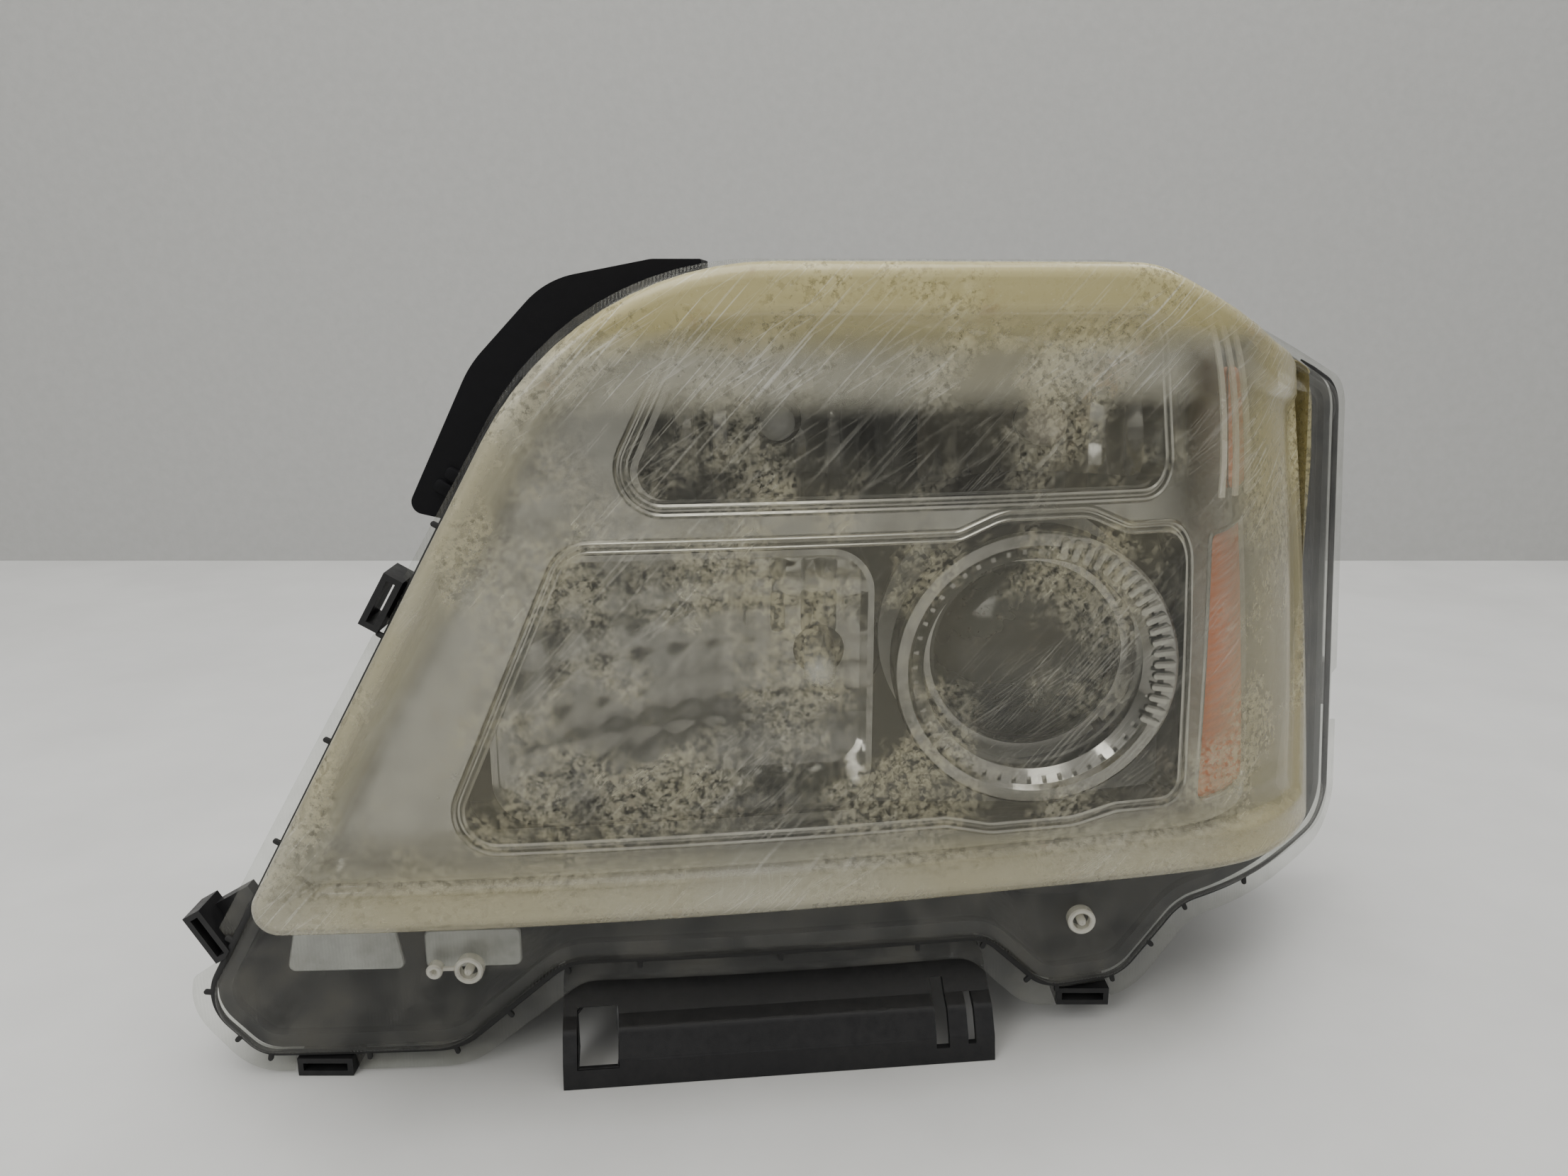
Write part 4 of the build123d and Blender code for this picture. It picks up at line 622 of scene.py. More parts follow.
def lens_glass():
    """The projector's thick glass: dark, smoky and smooth."""
    look = Look("projector_glass_look")
    smoke = look.noise(28.0, 4.0)
    spots = look.noise(260.0, 5.0, 0.7)
    shade_of = look.mix(look.span(smoke, 0.35, 0.7), (0.016, 0.018, 0.018), (0.035, 0.033, 0.026))
    shade_of = look.mix(look.span(spots, 0.58, 0.72, 0.0, 0.3), shade_of, (0.16, 0.13, 0.08))
    rough = look.span(spots, 0.4, 0.75, 0.05, 0.24)
    skin = look.surface(Base_Color=shade_of, Roughness=rough, IOR=1.52, Specular_IOR_Level=0.28)
    return look.done(look.blend(look.span(smoke, 0.3, 0.7, 0.92, 0.97), look.clear((0.8, 0.82, 0.8)), skin))


DUST, GREASE, SHIELD_DUST = (0.30, 0.28, 0.24), (0.17, 0.165, 0.145), (0.035, 0.035, 0.033)
LOOKS = {
    "seal_black": rubber("seal_rubber", (0.012, 0.012, 0.012)),
    "housing_black": plastic("housing_plastic", (0.016, 0.016, 0.017), DUST, 0.48, 260.0, 0.08, 0.22, 0.3),
    "bezel_chrome": chrome("bezel_metallised", (0.33, 0.33, 0.315), 0.15),
    "reflector_chrome": chrome("reflector_metallised", (0.24, 0.24, 0.235), 0.05, 0.2),
    "amber": tinted("amber_plastic", (0.78, 0.19, 0.03), 0.10, (0.95, 0.45, 0.12), 0.3, 0.5),
    "projector_glass": lens_glass(),
    "holder_metal": metal("holder_casting", (0.42, 0.42, 0.41), 0.38),
    "shutter_black": metal("shutter_steel", (0.05, 0.05, 0.052), 0.5),
    "carrier_grey": plastic("carrier_plastic", (0.075, 0.075, 0.08), DUST, 0.5, 300.0, 0.06, 0.2),
    "socket_white": plastic("socket_acetal", (0.62, 0.60, 0.55), (0.36, 0.33, 0.27), 0.35, 320.0, 0.03, 0.5),
    "screw_steel": metal("screw_zinc", (0.55, 0.54, 0.50), 0.28, 0.4),
    "brass_stud": metal("stud_zinc", (0.58, 0.55, 0.44), 0.25, 0.8, (0, 90, 0)),
    "gear_plastic": plastic("gear_acetal", (0.66, 0.62, 0.50), (0.36, 0.31, 0.22), 0.35, 320.0, 0.03, 0.5),
    # both bulbs' glass is a pale, mostly opaque film: a painted highlight that stands in for the lit glass
    # envelopes
    "bulb_glass": tinted("bulb_painted_glint", (0.85, 0.86, 0.86), 0.28, (0.96, 0.97, 0.98), 0.12),
    "turn_glass": tinted("turn_bulb_painted_glint", (0.84, 0.78, 0.68), 0.28, (0.98, 0.86, 0.66), 0.12),
    "bulb_base": plastic("base_plastic", (0.055, 0.055, 0.058), DUST, 0.42, 320.0, 0.04, 0.25),
    "cap_black": plastic("cap_plastic", (0.022, 0.022, 0.023), DUST, 0.45, 240.0, 0.07, 0.25, 0.35),
    "rubber_grey": rubber("ring_rubber", (0.05, 0.05, 0.052)),
    "pin_metal": metal("pin_tin", (0.66, 0.58, 0.36), 0.25, 0.8),
    "bracket_black": plastic("bracket_plastic", (0.009, 0.009, 0.010), GREASE, 0.36, 220.0, 0.05, 0.09, 0.3),
    "bush_steel": metal("bush_plain", (0.50, 0.50, 0.49), 0.3, 0.6),
}
# the face and the skirt outside, then both of their inner sides
LENS_LOOKS = [hazed_lens(), clear_skirt(), lens_inner(), lens_inner()]
RIBS_HIGHLIGHT_LOOK = ribs_painted_highlight()
SHIELD_LOOK = plastic("shield_plastic", (0.005, 0.005, 0.006), SHIELD_DUST, 0.55, 300.0, 0.05, 0.06, 0.12)


def dress_cad():
    """Every CAD node gets its slot's procedural material."""
    slots = {row["node"]: row["material_slot"] for row in frame["record"]["subparts"]}
    for name, node in frame["nodes"].items():
        look = SHIELD_LOOK if name == "upper_shield" else LOOKS.get(slots[name], LENS_LOOKS[0])
        for material_slot in node.material_slots:
            material_slot.material = look


# ---- outer lens
CENTRE_DROP = 3.5  # the middle lies this far behind the proud frame
EDGE_R = 4.5
SHOW_RUNS = [56, 34, 4, 4, 24, 34]  # points along each side; opposite sides of the patch have as many
# inset from the outline, share of CENTRE_DROP out of the front curve
FRAME_STEPS = [
    (26, -1.0), (21.5, -1.0), (19.5, -0.98), (18.2, -0.86), (17, -0.62), (16, -0.36),
    (15, -0.14), (14, -0.02), (12.5, 0.0), (5.2, 0.0),
]
# inset from the skirt's outline, out of the parting curve
SKIRT_STEPS = [(3.4, SKIRT_DEPTH), (2.0, 7.75), (0.9, 7.0), (0.2, 5.6), (0.0, 4.2), (0.0, FLANGE_FRONT)]


def wall_share(s):
    """1 over most of the face, falling to 0 where its outboard end runs into the skirt."""
    end = front.find(np.array([FACE_END_X]), np.array([LEAN_HEIGHT]), 0.0)[0]
    return np.clip((end - s - 2.0) / 14.0, 0, 1)


def build_lens():
    """The lens: a face with a proud frame, side walls, a fluted skirt and a notched flange."""
    mesh = Mesh()
    face = Outline(front.unroll(SHOW_CORNERS, 0.0), SHOW_RADII, SHOW_RUNS)
    rings = [front.lay(face.ring(inset), share * CENTRE_DROP) for inset, share in FRAME_STEPS]
    for angle in np.radians(np.linspace(0, 90, 6)):
        flat = face.ring(EDGE_R * (1 - math.sin(angle)))
        drop = EDGE_R * (1 - math.cos(angle)) * wall_share(flat[:, 0])
        rings.append(front.at(flat[:, 0], flat[:, 1], -drop))
    edge = rings[-1]
    foot = parting.drop(edge[:, [0, 2]], SKIRT_DEPTH)
    for share in (0.35, 0.7, 1.0):
        rings.append(edge * (1 - share) + foot * share)
    ids = mesh.loft(rings)
    patch(mesh, face.ring(FRAME_STEPS[0][0]), ids[0], face.arc_middles(), -CENTRE_DROP)
    skirt = Outline(SKIRT_CORNERS, SKIRT_RADII, step=5.0)
    inner = skirt.ring(SKIRT_STEPS[0][0])
    mesh.fill(inner, [foot[:, [0, 2]]], 8.0, lambda flat: parting.drop(flat, SKIRT_DEPTH), 1)
    mesh.loft([parting.drop(skirt.ring(inset), out) for inset, out in SKIRT_STEPS], mark=1)
    mesh.fill(notched_flange(), [skirt.ring(0.0)], 6.0, lambda flat: parting.drop(flat, FLANGE_FRONT), 1)
    wall = {"solid": LENS_WALL, "inner": 2, "weld": 0.05}
    mesh.finish("lens_shell", "lamp", "lens_clear", "outer_lens", looks=LENS_LOOKS, **wall)


def notched_flange():
    """The flange's outline, cut away where each clip grips."""
    loop = Outline(FLANGE_CORNERS, FLANGE_RADII, step=1.5).ring(0.0)
    for x, z, turn, depth in CLIPS:
        along = np.array([math.cos(math.radians(turn)), math.sin(math.radians(turn))])
        inward = np.array([-along[1], along[0]])
        rel = loop - (x, z)
        a, b = rel @ along, rel @ inward
        near = (np.abs(a) < NOTCH_HALF) & (b < depth) & (b > -NOTCH_REACH)
        loop[near] = (x, z) + a[near, None] * along + depth * inward
    return loop


def patch(mesh, ring, ids, middles, out):
    """Fills the face's innermost ring with a grid between four corners: a Coons patch."""
    c0, c1, c2, c3 = middles[0], middles[1], middles[2], middles[5]
    count = len(ring)
    bottom = np.arange(c0, c1 + 1)
    right = np.arange(c1, c2 + 1)
    top = np.arange(c2, c3 + 1)[::-1]
    left = np.arange(c3, c0 + count + 1)[::-1] % count
    u = np.linspace(0, 1, len(bottom))[None, :, None]
    v = np.linspace(0, 1, len(left))[:, None, None]
    b, t, l, r = ring[bottom][None], ring[top][None], ring[left][:, None], ring[right][:, None]
    flat = (1 - v) * b + v * t + (1 - u) * l + u * r
    flat -= (1 - v) * ((1 - u) * ring[c0] + u * ring[c1]) + v * (u * ring[c2] + (1 - u) * ring[c3])
    grid = np.empty(flat.shape[:2], int)
    inner = mesh.add(front.at(flat[1:-1, 1:-1, 0], flat[1:-1, 1:-1, 1], out))
    grid[1:-1, 1:-1] = inner.reshape(grid[1:-1, 1:-1].shape)
    grid[0], grid[-1], grid[:, 0], grid[:, -1] = ids[bottom], ids[top], ids[left], ids[right]
    for i in range(grid.shape[0] - 1):
        for j in range(grid.shape[1] - 1):
            mesh.faces.append((grid[i, j], grid[i, j + 1], grid[i + 1, j + 1], grid[i + 1, j]))
            mesh.marks.append(0)


# ---- bezel, marker lenses and flutes
BEZEL_OUT, BEZEL_END_Y, BEZEL_WALL = -22.0, -62.0, 2.2
BEZEL_CORNERS = [(-186, 84), (174, 84), (155, 238), (146, 255), (96, 279.5), (-77, 279.5)]
BEZEL_RADII = [6, 4, 6, 20, 54, 94]
UPPER_WINDOW = [(-75, 212), (112, 212), (105, 270), (-47, 270)]
LOWER_WINDOW = [
    (-131, 98), (38, 98), (54, 94), (84, 94), (100, 98), (124, 98), (121, 196),
    (99, 196), (84, 202.5), (54, 202.5), (39, 196), (-88, 196),
]
LOWER_RADII = [11, 14, 16, 16, 14, 8, 11, 14, 18, 18, 14, 11]
MARKER_WINDOW = [(133, 94), (160, 94), (160, 192), (133, 192)]
# out from a window's edge, proud of the bezel's sheet: two beads, then the wall behind
WINDOW_STEPS = [
    (5.0, 0.0), (4.5, 0.9), (3.8, 1.4), (3.1, 0.9), (2.7, -0.5), (2.1, -0.7),
    (1.5, 0.3), (0.9, 0.7), (0.2, 0.2), (0.0, -1.2), (0.3, -6.0), (0.8, -13.0),
]
MARKER_STEPS = [(2.2, 0.0), (1.6, 0.7), (0.8, 0.8), (0.2, 0.2), (0.0, -1.0), (0.0, -5.0)]
# inset from the bezel's outline, behind its sheet
BEZEL_EDGE = [(3.0, 0.0), (1.4, 0.3), (0.4, 1.2), (0.0, 2.6)]


def build_bezel():
    """The metallised sheet behind the lens, with its beaded windows and the wall round its edge."""
    mesh = Mesh()
    holes = []
    for corners, radii, steps in (
        (UPPER_WINDOW, [11] * 4, WINDOW_STEPS),
        (LOWER_WINDOW, LOWER_RADII, WINDOW_STEPS),
        (MARKER_WINDOW, [4] * 4, MARKER_STEPS),
    ):
        window = Outline(front.unroll(corners, BEZEL_OUT), radii, step=5.0)
        holes.append(window.ring(-steps[0][0]))
        mesh.loft([front.lay(window.ring(-grow), BEZEL_OUT + rise) for grow, rise in steps])
    outer = Outline(front.unroll(BEZEL_CORNERS, BEZEL_OUT), BEZEL_RADII, step=6.0)
    mesh.fill(outer.ring(BEZEL_EDGE[0][0]), holes, 7.0, lambda flat: front.lay(flat, BEZEL_OUT))
    rings = [front.lay(outer.ring(inset), BEZEL_OUT - drop) for inset, drop in BEZEL_EDGE]
    back = rings[-1].copy()
    back[:, 1] = np.maximum(BEZEL_END_Y, back[:, 1] + 1.0)
    mesh.loft(rings + [rings[-1] * 0.5 + back * 0.5, back])
    mesh.finish("bezel_shell", "lamp", "bezel_chrome", "bezel", solid=BEZEL_WALL, weld=0.05)


FLUTES = 3
FLUTE_LINE = [(115.5, 273.5), (119.5, 268), (123, 260), (126, 249), (128, 236), (129, 222), (129, 210)]
FLUTE_STEP, FLUTE_FAN = 4.3, 0.35
# across a flute, behind the lens's face
FLUTE_SECTION = [(-1.5, 2.7), (-1.1, 3.6), (-0.5, 4.3), (0.0, 4.5), (0.5, 4.3), (1.1, 3.6), (1.5, 2.7)]


def build_flutes():
    """Curved upright ridges moulded on the inside of the lens."""
    mesh = Mesh()
    for i in range(FLUTES):
        line = np.array([(x + i * (FLUTE_STEP + FLUTE_FAN * k), z) for k, (x, z) in enumerate(FLUTE_LINE)])
        t = np.linspace(0, len(line) - 1, 40)
        knots = np.arange(len(line), dtype=float)
        x, z = (PlanCurve.natural(knots, line[:, k], t) for k in (0, 1))
        s = front.find(x, z, -CENTRE_DROP)
        rings = [front.at(s + across, z, -CENTRE_DROP - drop) for across, drop in FLUTE_SECTION]
        ids = np.array([mesh.add(ring) for ring in rings])
        for a, b in zip(ids, list(ids[1:]) + [ids[0]]):
            mesh.bridge(a, b, closed=False)
        mesh.cap(ids[:, 0])
        mesh.cap(ids[::-1, -1])
    # the flutes' pale film is a painted highlight
    mesh.finish("lens_flutes", "lamp", "lens_clear", looks=[RIBS_HIGHLIGHT_LOOK])


UPPER_MARKER = [(144, 207), (163, 207), (156, 246), (143, 251)]
UPPER_MARKER_STEPS = [(0.0, 0.3), (0.0, 1.9), (0.3, 2.5), (1.1, 2.8)]  # inset, proud of the bezel's sheet


def build_upper_marker():
    """The amber plate behind the lens's upper corner."""
    mesh = Mesh()
    plate = Outline(front.unroll(UPPER_MARKER, BEZEL_OUT + 2), [4] * 4, step=4.0)
    steps = [(inset, BEZEL_OUT + rise) for inset, rise in UPPER_MARKER_STEPS]
    mesh.slab(plate, steps, front.lay)
    mesh.finish("upper_marker_plate", "lamp", "amber")


# ---- reflectors
HIGH_CORNERS = [(-119, 97), (10, 97), (10, 189), (-119, 189)]
HIGH_LIP, HIGH_APEX_Y, HIGH_FOCUS, HIGH_WALL = -43.0, -41.5, 52.0, 1.8
FACET_X, FACET_Z, FACET_BULGE = 13.0, 15.4, 1.3
FACET_GRID, FACET_SMOOTH, LIP_ROLL = 2.6, 28.0, 2.2
HIGH_HOLE_R, UPPER_HOLE_R = 10.0, 9.0
# radius and y of the bulb's seat on the bowl's back
SEAT_SECTION = [(14, -29), (21, -29), (21, -38), (19, -39.5), (10, -39.5), (10, -38), (14, -38)]
SEAT_POSTS = [(-100, 106), (-100, 178), (-34, 104), (-34, 182)]
POST_R, POST_BORE_R, POST_END_Y = 4, 0.4, -38


def pillows(x, z, centre, width, height, bulge):
    """The bulge of a grid of pillow-shaped facets."""
    u = ((x - centre[0]) / width + 0.5) % 1.0
    v = ((z - centre[1]) / height + 0.5) % 1.0
    return bulge * (1 - (2 * u - 1) ** 2) * (1 - 0.55 * (2 * v - 1) ** 2)


def high_bowl(flat):
    """The high beam's faceted dish, over points of x and z."""
    x, z = flat[:, 0], flat[:, 1]
    r2 = (x - HIGH[0]) ** 2 + (z - HIGH[1]) ** 2
    y = HIGH_APEX_Y - r2 / (4 * HIGH_FOCUS) + pillows(x, z, HIGH, FACET_X, FACET_Z, FACET_BULGE)
    lip = front.drop(flat, HIGH_LIP)[:, 1]
    return np.stack([x, np.maximum(y, lip + 2.0), z], 1)


def reflector_cell(mesh, corners, radius, holes, bowl, lip_out):
    """A deep cell: a faceted bowl, walls forward to the lip, and a rolled lip."""
    cell = Outline(corners, [radius] * len(corners), step=4.0)
    base = cell.ring(0.0)
    floor = bowl(base)
    lip = front.drop(base, lip_out)
    rings = [floor] + [floor * (1 - t) + lip * t for t in (0.33, 0.66, 1.0)]
    rolled = front.drop(cell.ring(-LIP_ROLL), lip_out)
    mesh.loft(rings + [rolled])
    mesh.fill(base, holes, FACET_GRID, bowl)


def build_high_reflector():
    """The high beam's bowl, and the bulb's seat and four screw posts behind it."""
    mesh = Mesh()
    reflector_cell(mesh, HIGH_CORNERS, 14, [circle(HIGH, HIGH_HOLE_R)], high_bowl, HIGH_LIP)
    how = {"solid": HIGH_WALL, "smooth": FACET_SMOOTH}
    mesh.finish("high_beam_bowl", "carrier", "reflector_chrome", "high_beam_reflector", **how)
    seat = Mesh()
    seat.turned(*HIGH, SEAT_SECTION)
    for x, z in SEAT_POSTS:
        start = high_bowl(np.array([[x, z]]))[0, 1] + HIGH_WALL + 0.1
        corners = [(POST_BORE_R, POST_END_Y), (POST_R, POST_END_Y), (POST_R, start), (POST_BORE_R, start)]
        seat.turned(x, z, corners, 20)
    seat.finish("high_beam_seat", "carrier", "reflector_chrome")


RING_TOOTH_R, RING_TOOTH_Y = 44.6, -91.3
RING_TEETH = np.radians(np.arange(-24, 86, 5.5))
TOOTH_HALF = (3.9, 1.35, 1.2)


def build_ring_teeth():
    """The serrations on the upper outboard arc of the projector's ring."""
    mesh = Mesh()
    for a in RING_TEETH:
        out = (math.cos(a), 0, math.sin(a))
        centre = (PROJECTOR[0] + RING_TOOTH_R * out[0], RING_TOOTH_Y, PROJECTOR[1] + RING_TOOTH_R * out[2])
        mesh.block(centre, out, (-out[2], 0, out[0]), TOOTH_HALF)
    mesh.finish("ring_teeth", "carrier", "reflector_chrome", looks=[LOOKS["bezel_chrome"]])


UPPER_CELL = [(-71, 212.5), (112, 212.5), (105, 270), (-45, 270)]
UPPER_LIP, UPPER_APEX_Y, UPPER_FOCUS, UPPER_WALL = -25.6, -45.0, 16.0, 1.3
RIDGE_X, RIDGE_Z, RIDGE_BULGE = 12.0, 60.0, 1.6
SHELF_Z, SHELF_Y, SHELF_SLOPE = 243.0, -66.0, 1.35


def upper_bowl(flat):
    """Two fluted bowls that meet in a ridge, under a sloping shelf."""
    x, z = flat[:, 0], flat[:, 1]
    y = np.full(len(x), -np.inf)
    for centre in BULBS_UPPER:
        r2 = (x - centre[0]) ** 2 + (z - centre[1]) ** 2
        ridges = pillows(x, z, centre, RIDGE_X, RIDGE_Z, RIDGE_BULGE)
        y = np.maximum(y, UPPER_APEX_Y - r2 / (4 * UPPER_FOCUS) + ridges)
    shelf = SHELF_Y - (z - SHELF_Z) * SHELF_SLOPE
    y = np.where(z > SHELF_Z - 4, np.minimum(y, shelf), y)
    lip = front.drop(flat, UPPER_LIP)[:, 1]
    return np.stack([x, np.maximum(y, lip + 2.0), z], 1)


def build_upper_reflector():
    """The park and turn lamps' cell, with a bowl for each bulb."""
    mesh = Mesh()
    holes = [circle(centre, UPPER_HOLE_R) for centre in BULBS_UPPER]
    reflector_cell(mesh, UPPER_CELL, 9, holes, upper_bowl, UPPER_LIP)
    how = {"solid": UPPER_WALL, "smooth": FACET_SMOOTH}
    mesh.finish("upper_bowls", "lamp", "reflector_chrome", "turn_reflector", **how)


# ---- small parts on the lens's skirt
RUNNER_Z = 44.0
BOSSES = [(-131.0, RUNNER_Z, 5.2), (92.0, 48.0, 5.2), (-143.0, RUNNER_Z, 2.9)]  # x, z, radius
BOSS_WALL, BOSS_CHAMFER = 2.0, 0.5
PIN_SECTION = [(0.15, 1), (0.15, -3.8), (1.2, -3.4), (1.7, -2.6), (1.7, 1)]  # radius, y from the skirt


def build_bosses():
    """The clear ring bosses moulded on the skirt, a pin in each large one, and the runner beside one."""
    mesh = Mesh()
    for x, z, outer in BOSSES:
        y = parting.drop([(x, z)], SKIRT_DEPTH)[0, 1]
        bore = outer - BOSS_WALL
        top = [(bore, -2.4), (bore + BOSS_CHAMFER, -3), (outer - BOSS_CHAMFER, -3), (outer, -2.4)]
        mesh.turned(x, z, [(r, y + rise) for r, rise in [(bore, 1), *top, (outer, 1)]], 32)
        if outer > 2 * BOSS_WALL:
            mesh.turned(x, z, [(r, y + rise) for r, rise in PIN_SECTION], 24)
    run = np.array([(x, RUNNER_Z) for x in np.linspace(-140.5, -136, 5)])
    mesh.tube(parting.drop(run, SKIRT_DEPTH + 0.3), 0.9)
    # the bosses wear the ribs' look, whose pale film is a painted highlight
    mesh.finish("skirt_bosses", "lamp", "lens_clear", looks=[RIBS_HIGHLIGHT_LOOK])


FIRST_LUG, LUG_EVERY, LUG_HALF = 4, 11, (0.9, 2.1, 0.7)  # counted in points of the outline
LUG_TOP_Z, LUG_END_X = 240, 190


def build_lugs():
    """Short black lugs of the bead that cross the flange."""
    mesh = Mesh()
    ring = Outline(SKIRT_CORNERS, SKIRT_RADII, step=5.0).ring(-2.4)
    after = unit(np.roll(ring, -1, 0) - np.roll(ring, 1, 0))
    for (x, z), (u, w) in list(zip(ring, after))[FIRST_LUG::LUG_EVERY]:
        if z <= LUG_TOP_Z and x <= LUG_END_X:
            y = parting.drop([(x, z)], FLANGE_FRONT + 0.5)[0, 1]
            mesh.block((x, y, z), (u, 0, w), (-w, 0, u), LUG_HALF)
    mesh.finish("bead_lugs", "lamp", "seal_black")


def ribbon(mesh, path, side, profile, taper=3):
    """A bar along a path. The profile is points of sideways and forward reach; both ends taper."""
    count = len(path)
    rings = []
    for i, (p, a) in enumerate(zip(path, side)):
        size = min(1.0, 0.35 + 0.65 * min(i, count - 1 - i) / taper)
        rings.append(np.array([p + size * (u * a + v * FORWARD) for u, v in profile]))
    mesh.bar(rings)


BEAD_TOP_Z, BEAD_HALF = 252.0, (1.3, 0.9)


def build_bead():
    """The black bead that shows all round the root of the skirt."""
    mesh = Mesh()
    ring = Outline(SKIRT_CORNERS, SKIRT_RADII, step=4.0).ring(-1.0)
    ring = np.roll(ring, -int(np.argmax(ring[:, 1])), 0)
    line = parting.drop(ring[ring[:, 1] < BEAD_TOP_Z], FLANGE_FRONT + 0.4)
    after = unit(np.gradient(line, axis=0))
    side = np.stack([after[:, 2], np.zeros(len(line)), -after[:, 0]], 1)
    ribbon(mesh, line, side, [(BEAD_HALF[0] * math.cos(a), BEAD_HALF[1] * math.sin(a)) for a in spokes(8)])
    mesh.finish("bead", "lamp", "seal_black")


SHIELD_FRONT_Y, SHIELD_END_X, SHIELD_FOOT_Z = -96.0, -68, 207
# sideways and forward reach of the strip's section
SHIELD_STRIP = [(0.0, -0.6), (3.6, -0.6), (3.6, 1.0), (3.1, 1.7), (1.6, 2.1), (0.5, 1.7), (0.0, 1.0)]


def build_shield_strip():
    """The second, narrower strip beside the lens on the upper shield."""
    mesh = Mesh()
    ring = Outline(SHOW_CORNERS, SHOW_RADII, [56, 34, 4, 4, 24, 60]).ring(-2.4)
    line = ring[(ring[:, 0] < SHIELD_END_X) & (ring[:, 1] > SHIELD_FOOT_Z)]
    line = line[np.argsort(line[:, 1])]
    run = unit(np.gradient(line, axis=0))
    side = np.stack([-run[:, 1], np.zeros(len(run)), run[:, 0]], 1)
    path = np.stack([line[:, 0], np.full(len(line), SHIELD_FRONT_Y), line[:, 1]], 1)
    ribbon(mesh, path, side, SHIELD_STRIP, 6)
    for share, reach in ((0.06, 9.0), (0.16, 7.5)):
        i = int(share * len(path))
        mesh.block(path[i] + side[i] * reach, side[i], np.cross(FORWARD, side[i]), (3.2, 2.2, 1.6))
    mesh.finish("shield_strip", "lamp", "bracket_black", looks=[SHIELD_LOOK])


BRACKET_MIDDLE, BRACKET_TURN, BRACKET_HALF = (-22.0, -90.0), math.radians(6.5), 79.0
BRACKET_FRONT = [(2.0, 30.0), (-8.0, 21.0), (-13.0, 18.0), (-18.0, 9.0), (-19.0, 3.0)]  # behind, z
CREASES = [(-8.2, 20.6, 1.0), (-13.1, 17.9, 0.8), (-18.2, 9.2, 1.1), (2.0, 29.8, 1.1)]  # behind, z, radius
CREASE_ENDS = (-BRACKET_HALF + 27, BRACKET_HALF - 29)
RIB_PLACES = (-BRACKET_HALF + 3, -BRACKET_HALF + 22, *CREASE_ENDS, BRACKET_HALF - 14, BRACKET_HALF - 4)
# along from the bracket's inboard end, z: the ragged edge round the window
BURR = [
    (5.0, 6.5), (5.6, 14), (4.8, 22), (8, 24.6), (14, 24.2),
    (19.6, 23.6), (20.4, 15), (19.8, 7), (12, 6.4), (5.0, 6.5),
]
BURR_DEPTH = ([0, 9, 18, 21, 30], [-19.7, -18.2, -13.2, -8.2, 1.8])  # z, behind


def on_bracket(along, behind, z):
    """A point given along the bracket, behind its middle line, and up."""
    cos, sin = math.cos(BRACKET_TURN), math.sin(BRACKET_TURN)
    return (BRACKET_MIDDLE[0] + along * cos - behind * sin, BRACKET_MIDDLE[1] + along * sin + behind * cos, z)


def build_bracket_trim():
    """Beads, creases and a burr round the window on the bracket's front."""
    mesh = Mesh()
    for behind, z, radius in CREASES:
        mesh.tube([on_bracket(along, behind, z) for along in np.linspace(*CREASE_ENDS, 12)], radius)
    for along in RIB_PLACES:
        mesh.tube([on_bracket(along, behind, z) for behind, z in BRACKET_FRONT], 1.2)
    mesh.tube([on_bracket(a - BRACKET_HALF, np.interp(z, *BURR_DEPTH), z) for a, z in BURR], 0.7, 6)
    mesh.finish("bracket_trim", "lamp", "bracket_black")


SKIRT_PLATES = [
    [(-197, 41), (-155, 41), (-158, 58), (-193, 60)],
    [(-148, 41), (-114, 41), (-114, 56), (-148, 56)],
]
PLATE_STEPS = [(0.0, 1.2), (0.0, 2.2), (0.5, 2.7)]  # inset, out of the parting curve


def build_skirt_plates():
    """Two bright plates seen through the skirt beside its boss."""
    mesh = Mesh()
    for corners in SKIRT_PLATES:
        plate = Outline(corners, [2.5] * 4, step=4.0)
        mesh.slab(plate, PLATE_STEPS, parting.drop)
    mesh.finish("skirt_plates", "lamp", "holder_metal")


# ---- stage, camera and light
STAGE_HALF, WALL_Y, WALL_TOP = 4.0, 0.74, 3.0  # in metres, like the rest of this section


def build_stage():
    """A pale floor with faint marks, and a pale wall with a fine grain."""
    look = Look("pale_floor")
    marks = look.span(look.noise(9.0, 6.0, 0.6), 0.35, 0.75)
    colour = look.mix(marks, (0.60, 0.60, 0.59), (0.53, 0.53, 0.52))
    floor_look = look.done(look.surface(Base_Color=colour, Roughness=0.5))
    look = Look("pale_wall")
    grain = look.noise(120.0, 3.0)
    colour = look.mix(look.span(grain, 0.3, 0.7), (0.40, 0.40, 0.39), (0.375, 0.375, 0.365))
    wall_look = look.done(look.surface(Base_Color=colour, Roughness=0.8, Normal=look.bump(grain, 0.5, 0.5)))
    side = STAGE_HALF
    back = [(-side, WALL_Y, 0), (side, WALL_Y, 0)]
    for name, corners, material in (
        ("floor", [(-side, -side, 0), (side, -side, 0), *back[::-1]], floor_look),
        ("wall", [*back, (side, WALL_Y, WALL_TOP), (-side, WALL_Y, WALL_TOP)], wall_look),
    ):
        mesh = bpy.data.meshes.new(name)
        mesh.from_pydata(corners, [], [(0, 1, 2, 3)])
        mesh.materials.append(material)
        show(name, mesh)


CAMERA_PLACE, CAMERA_DOWN, CAMERA_LENS = (-0.0195, -0.500, 0.280), 14, 28.09


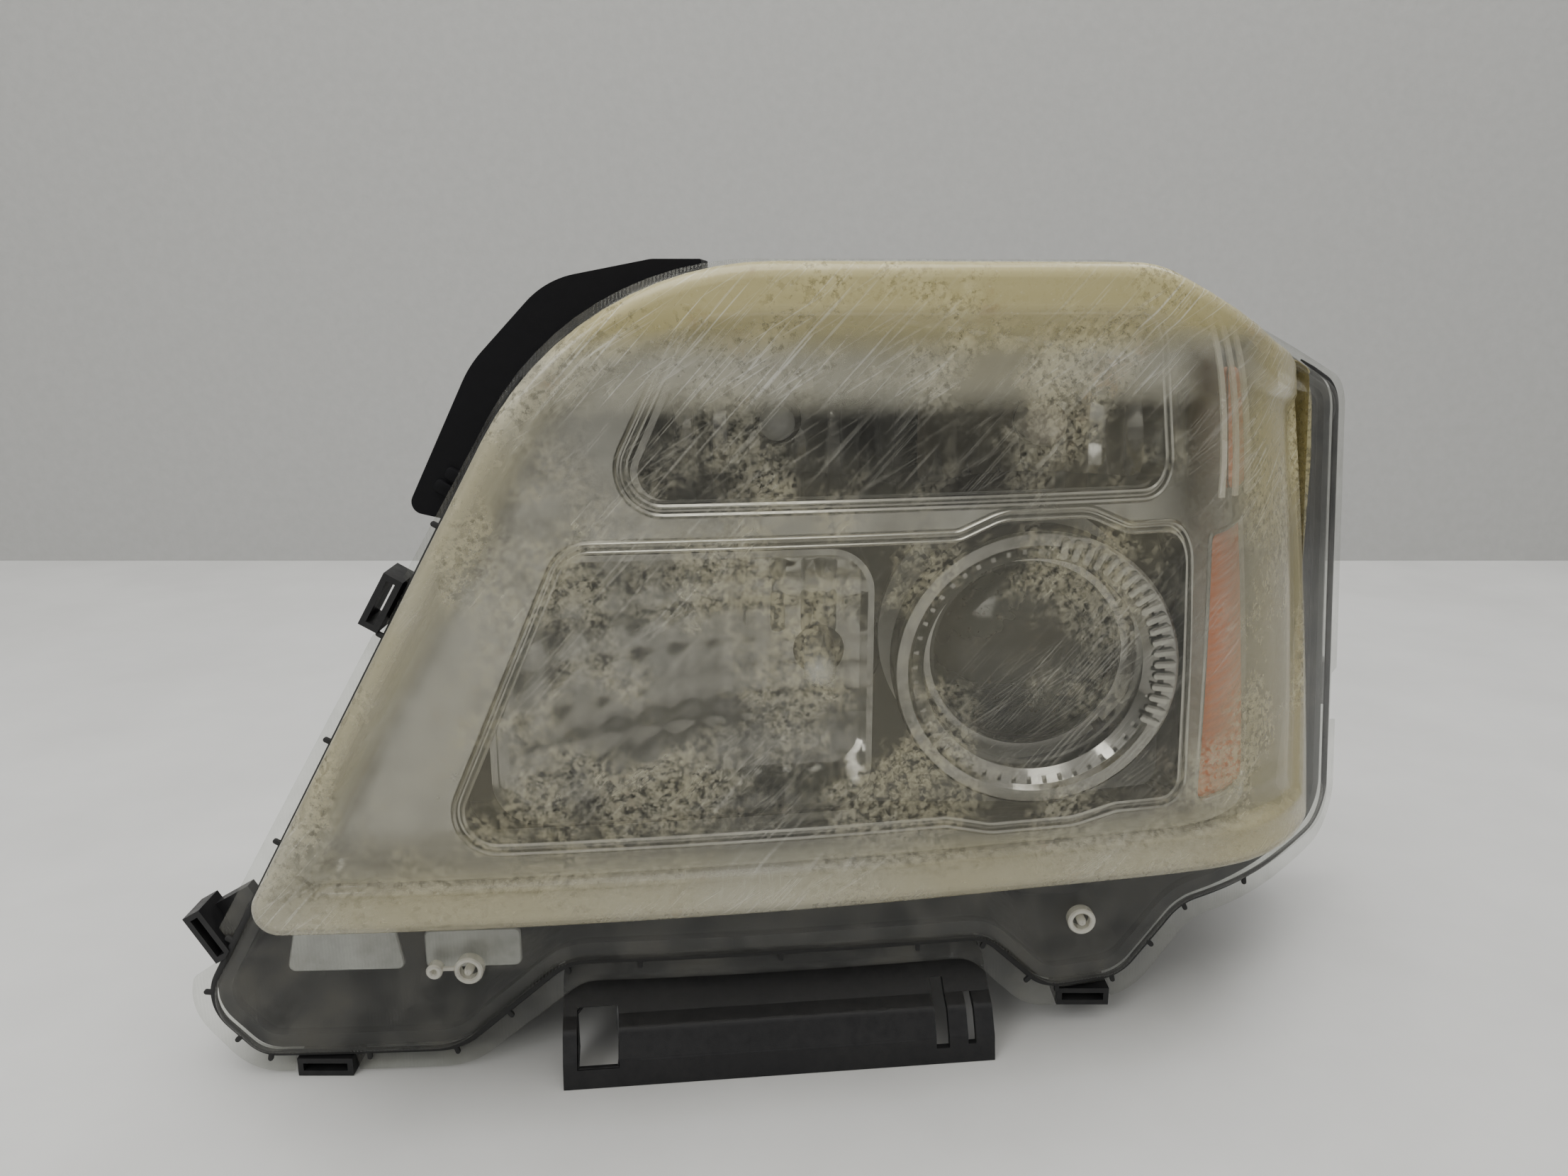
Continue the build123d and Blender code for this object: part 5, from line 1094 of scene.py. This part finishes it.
def build_camera():
    """The photograph's view, on a sensor 36 mm wide."""
    data = bpy.data.cameras.new("camera")
    data.lens, data.sensor_width, data.clip_start = CAMERA_LENS, 36.0, 0.01
    camera = show("camera", data)
    camera.location = CAMERA_PLACE
    camera.rotation_euler = (math.radians(90 - CAMERA_DOWN), 0, 0)
    bpy.context.scene.camera = camera


def area_light(name, place, target, size, power, colour=(1, 1, 1)):
    data = bpy.data.lights.new(name, "AREA")
    data.shape, data.size, data.energy, data.color = "SQUARE", size, power, colour
    light = show(name, data)
    light.location = place
    light.rotation_euler = (Vector(target) - Vector(place)).to_track_quat("-Z", "Y").to_euler()


def build_light():
    """Three soft lights, and a sky that is dim below and bright above."""
    area_light("overhead", (-0.1, -0.25, 1.7), (0, 0, 0), 1.5, 27, (1.0, 0.99, 0.96))
    area_light("front_left", (-1.0, -1.5, 1.25), (0, 0, 0.12), 0.7, 11, (1.0, 1.0, 0.98))
    area_light("behind", (0.9, 0.65, 1.5), (0, 0.1, 0.1), 0.8, 9)
    world = bpy.data.worlds.new("soft")
    bpy.context.scene.world = world
    world.use_nodes = True
    tree = world.node_tree
    where, split = tree.nodes.new("ShaderNodeTexCoord"), tree.nodes.new("ShaderNodeSeparateXYZ")
    ramp = tree.nodes.new("ShaderNodeMapRange")
    for name, number in (("From Min", -0.1), ("From Max", 0.7), ("To Min", 0.10), ("To Max", 0.95)):
        ramp.inputs[name].default_value = number
    tree.links.new(where.outputs["Generated"], split.inputs[0])
    tree.links.new(split.outputs["Z"], ramp.inputs["Value"])
    tree.links.new(ramp.outputs[0], tree.nodes["Background"].inputs[1])
    tree.nodes["Background"].inputs[0].default_value = (1.0, 0.995, 0.98, 1)


dress_cad()
build_lens()
build_bezel()
build_flutes()
build_upper_marker()
build_high_reflector()
build_ring_teeth()
build_upper_reflector()
build_bosses()
build_lugs()
build_bead()
build_shield_strip()
build_bracket_trim()
build_skirt_plates()
build_stage()
build_camera()
build_light()

bpy.context.view_layer.update()
